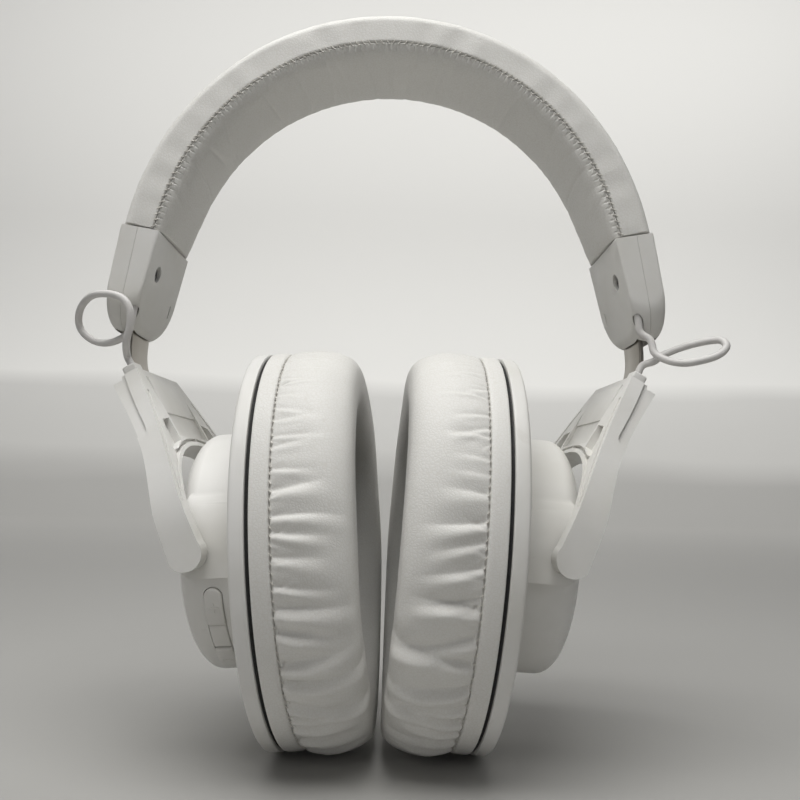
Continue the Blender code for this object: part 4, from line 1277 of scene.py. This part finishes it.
def headband_pad():
    """The cushion under the band, gathered along its two seams."""
    half = BAND_W / 2
    low = SEAM_IN + 0.05
    quarter = [(half - 3.0, low), (half - 0.6, low + 0.02), (half - 0.28, low + 0.12), (half - 0.22, low + 0.42),
               (half - 0.42, low + 1.0), (half - 0.85, low + 1.65), (half - 1.7, low + 2.4), (half - 3.2, low + 3.1),
               (half - 5.3, low + 3.6), (half - 8.0, low + 3.95), (half - 10.8, low + 4.12), (0.9, low + 4.2)]
    quarter = smooth_line(quarter, 4).tolist()
    section = quarter + [(-y, d) for y, d in reversed(quarter)]
    across, depth = np.array(section).T
    point, inward = arch_frames(900)
    along = band_length(point)
    total = along[-1]
    arc_at = np.concatenate([[0], np.cumsum(np.hypot(np.diff(across), np.diff(depth)))])
    from_front = arc_at - 3.0
    from_rear = arc_at[-1] - arc_at - 3.0
    swell = np.ones((len(point), len(section)))
    swell *= (0.55 + 0.45 * np.clip(along / 12.0, 0, 1) ** 0.5)[:, None]
    height = np.zeros_like(swell)
    rng = np.random.default_rng(23)
    for start in (from_front, from_rear):
        place = 3.0
        while place < total + 4:
            reach, deep, wide = rng.uniform(5, 13), rng.uniform(0.05, 0.16), rng.uniform(0.9, 2.2)
            slant = rng.uniform(-0.5, 0.5)
            s = start[None, :]
            distance = along[:, None] - place - slant * s
            fade = np.where(s > 0, (1 - np.clip(s / reach, 0, 1) ** 2) ** 2, 0)
            height += deep * fade * (-np.exp(-np.abs(distance / wide) ** 1.4)
                                     + 0.5 * np.exp(-((distance - 2.2 * wide) / (1.6 * wide)) ** 2))
            place += rng.uniform(3.0, 7.5)
    for start in (from_front, from_rear):  # each stitch pulls a small notch into the cushion's edge
        pull = np.exp(-((along[:, None] - 0.8) % STITCH_PITCH - STITCH_PITCH / 2) ** 2 / 0.05)
        height -= 0.4 * pull * np.exp(-(np.maximum(start, -2.5)[None, :] / 1.1) ** 2)
    for k in range(16):  # long soft creases across the cushion
        place, deep, wide = rng.uniform(6, total), rng.uniform(0.06, 0.16), rng.uniform(0.5, 1.1)
        tilt, bow = rng.uniform(-0.25, 0.25), rng.uniform(-0.01, 0.01)
        distance = along[:, None] - place - tilt * across[None, :] - bow * across[None, :] ** 2
        height -= deep * np.exp(-(distance / wide) ** 2) * np.clip((depth - low - 1.5) / 2, 0, 1)[None, :]
    grid_depth = low + (depth - low)[None, :] * swell + height * np.clip((depth - low) / 1.5, 0, 1)[None, :]
    edge = np.clip((depth - low - 0.3) / 0.8, 0, 1) * np.clip((low + 3.2 - depth) / 2, 0, 1)
    grid_across = across[None, :] + np.sign(across)[None, :] * height * edge[None, :]
    half_band("headband_cushion", band_grid(point, inward, grid_across, grid_depth), "leather", ["headband_pad"])


def headband_stitches():
    """Slanted stitches over the seam on both edges of the band."""
    point, inward = arch_frames(1400)
    along = band_length(point)
    half = BAND_W / 2
    for side, sign in (("right", 1), ("left", -1)):
        found = []
        for edge in (-1, 1):
            place = 0.8
            while place < along[-1] - 0.3:
                ends = []
                for lean, across, depth in ((-0.5, half - 0.12, SEAM_IN - 0.62), (0, half - 0.16, SEAM_IN),
                                            (0.5, half - 0.2, SEAM_IN + 0.66)):
                    at = place + lean
                    x, z = (np.interp(at, along, point[:, k]) for k in (0, 1))
                    dx, dz = (np.interp(at, along, inward[:, k]) for k in (0, 1))
                    ends.append((sign * (x + dx * depth), edge * (across + 0.12), z + dz * depth))
                found.append(tube("stitch", smooth_line(ends, 2), 0.17, 6))
                place += STITCH_PITCH
        obj = add(f"{side}_headband_stitches", joined(f"{side}_headband_stitches", found), "thread", None)
        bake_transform(obj)


def headband_spring():
    point, inward = arch_frames(90, ARCH_START + 12)
    across, depth = np.array([(8.0, 3.4), (0, 3.4), (-8.0, 3.4), (-8.0, 4.6), (0, 4.6), (8.0, 4.6)]).T
    half_band("spring_band", band_grid(point, inward, across, depth), "steel", ["headband_spring"])


# CAD nodes that stay, with their own looks ----------------------------------------------

KEPT = {
    "baffle": "plastic", "driver_frame": "trim", "driver_diaphragm": "film", "driver_magnet": "dark_metal",
    "detent_spring": "dark_metal", "pivot_pin_front": "dark_metal", "pivot_pin_rear": "dark_metal",
}


def dress_kept_nodes():
    looks = {f"{side}_{name}": look for side in ("left", "right") for name, look in KEPT.items()}
    looks.update({"left_circuit_board": "board", "left_charging_socket": "steel", "right_battery": "cell"})
    for name, look in looks.items():
        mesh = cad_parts[name].data
        for index in range(len(mesh.materials)):
            mesh.materials[index] = LOOKS[look]


def main():
    camera()
    studio()
    for side in ("left", "right"):
        link_cord(side)
        cup(side)
    ear_pad("left", 5)
    ear_pad("right", 8)
    keys()
    driver_pieces()
    arms()
    headband_cover()
    headband_pad()
    headband_stitches()
    headband_spring()
    dress_kept_nodes()


main()
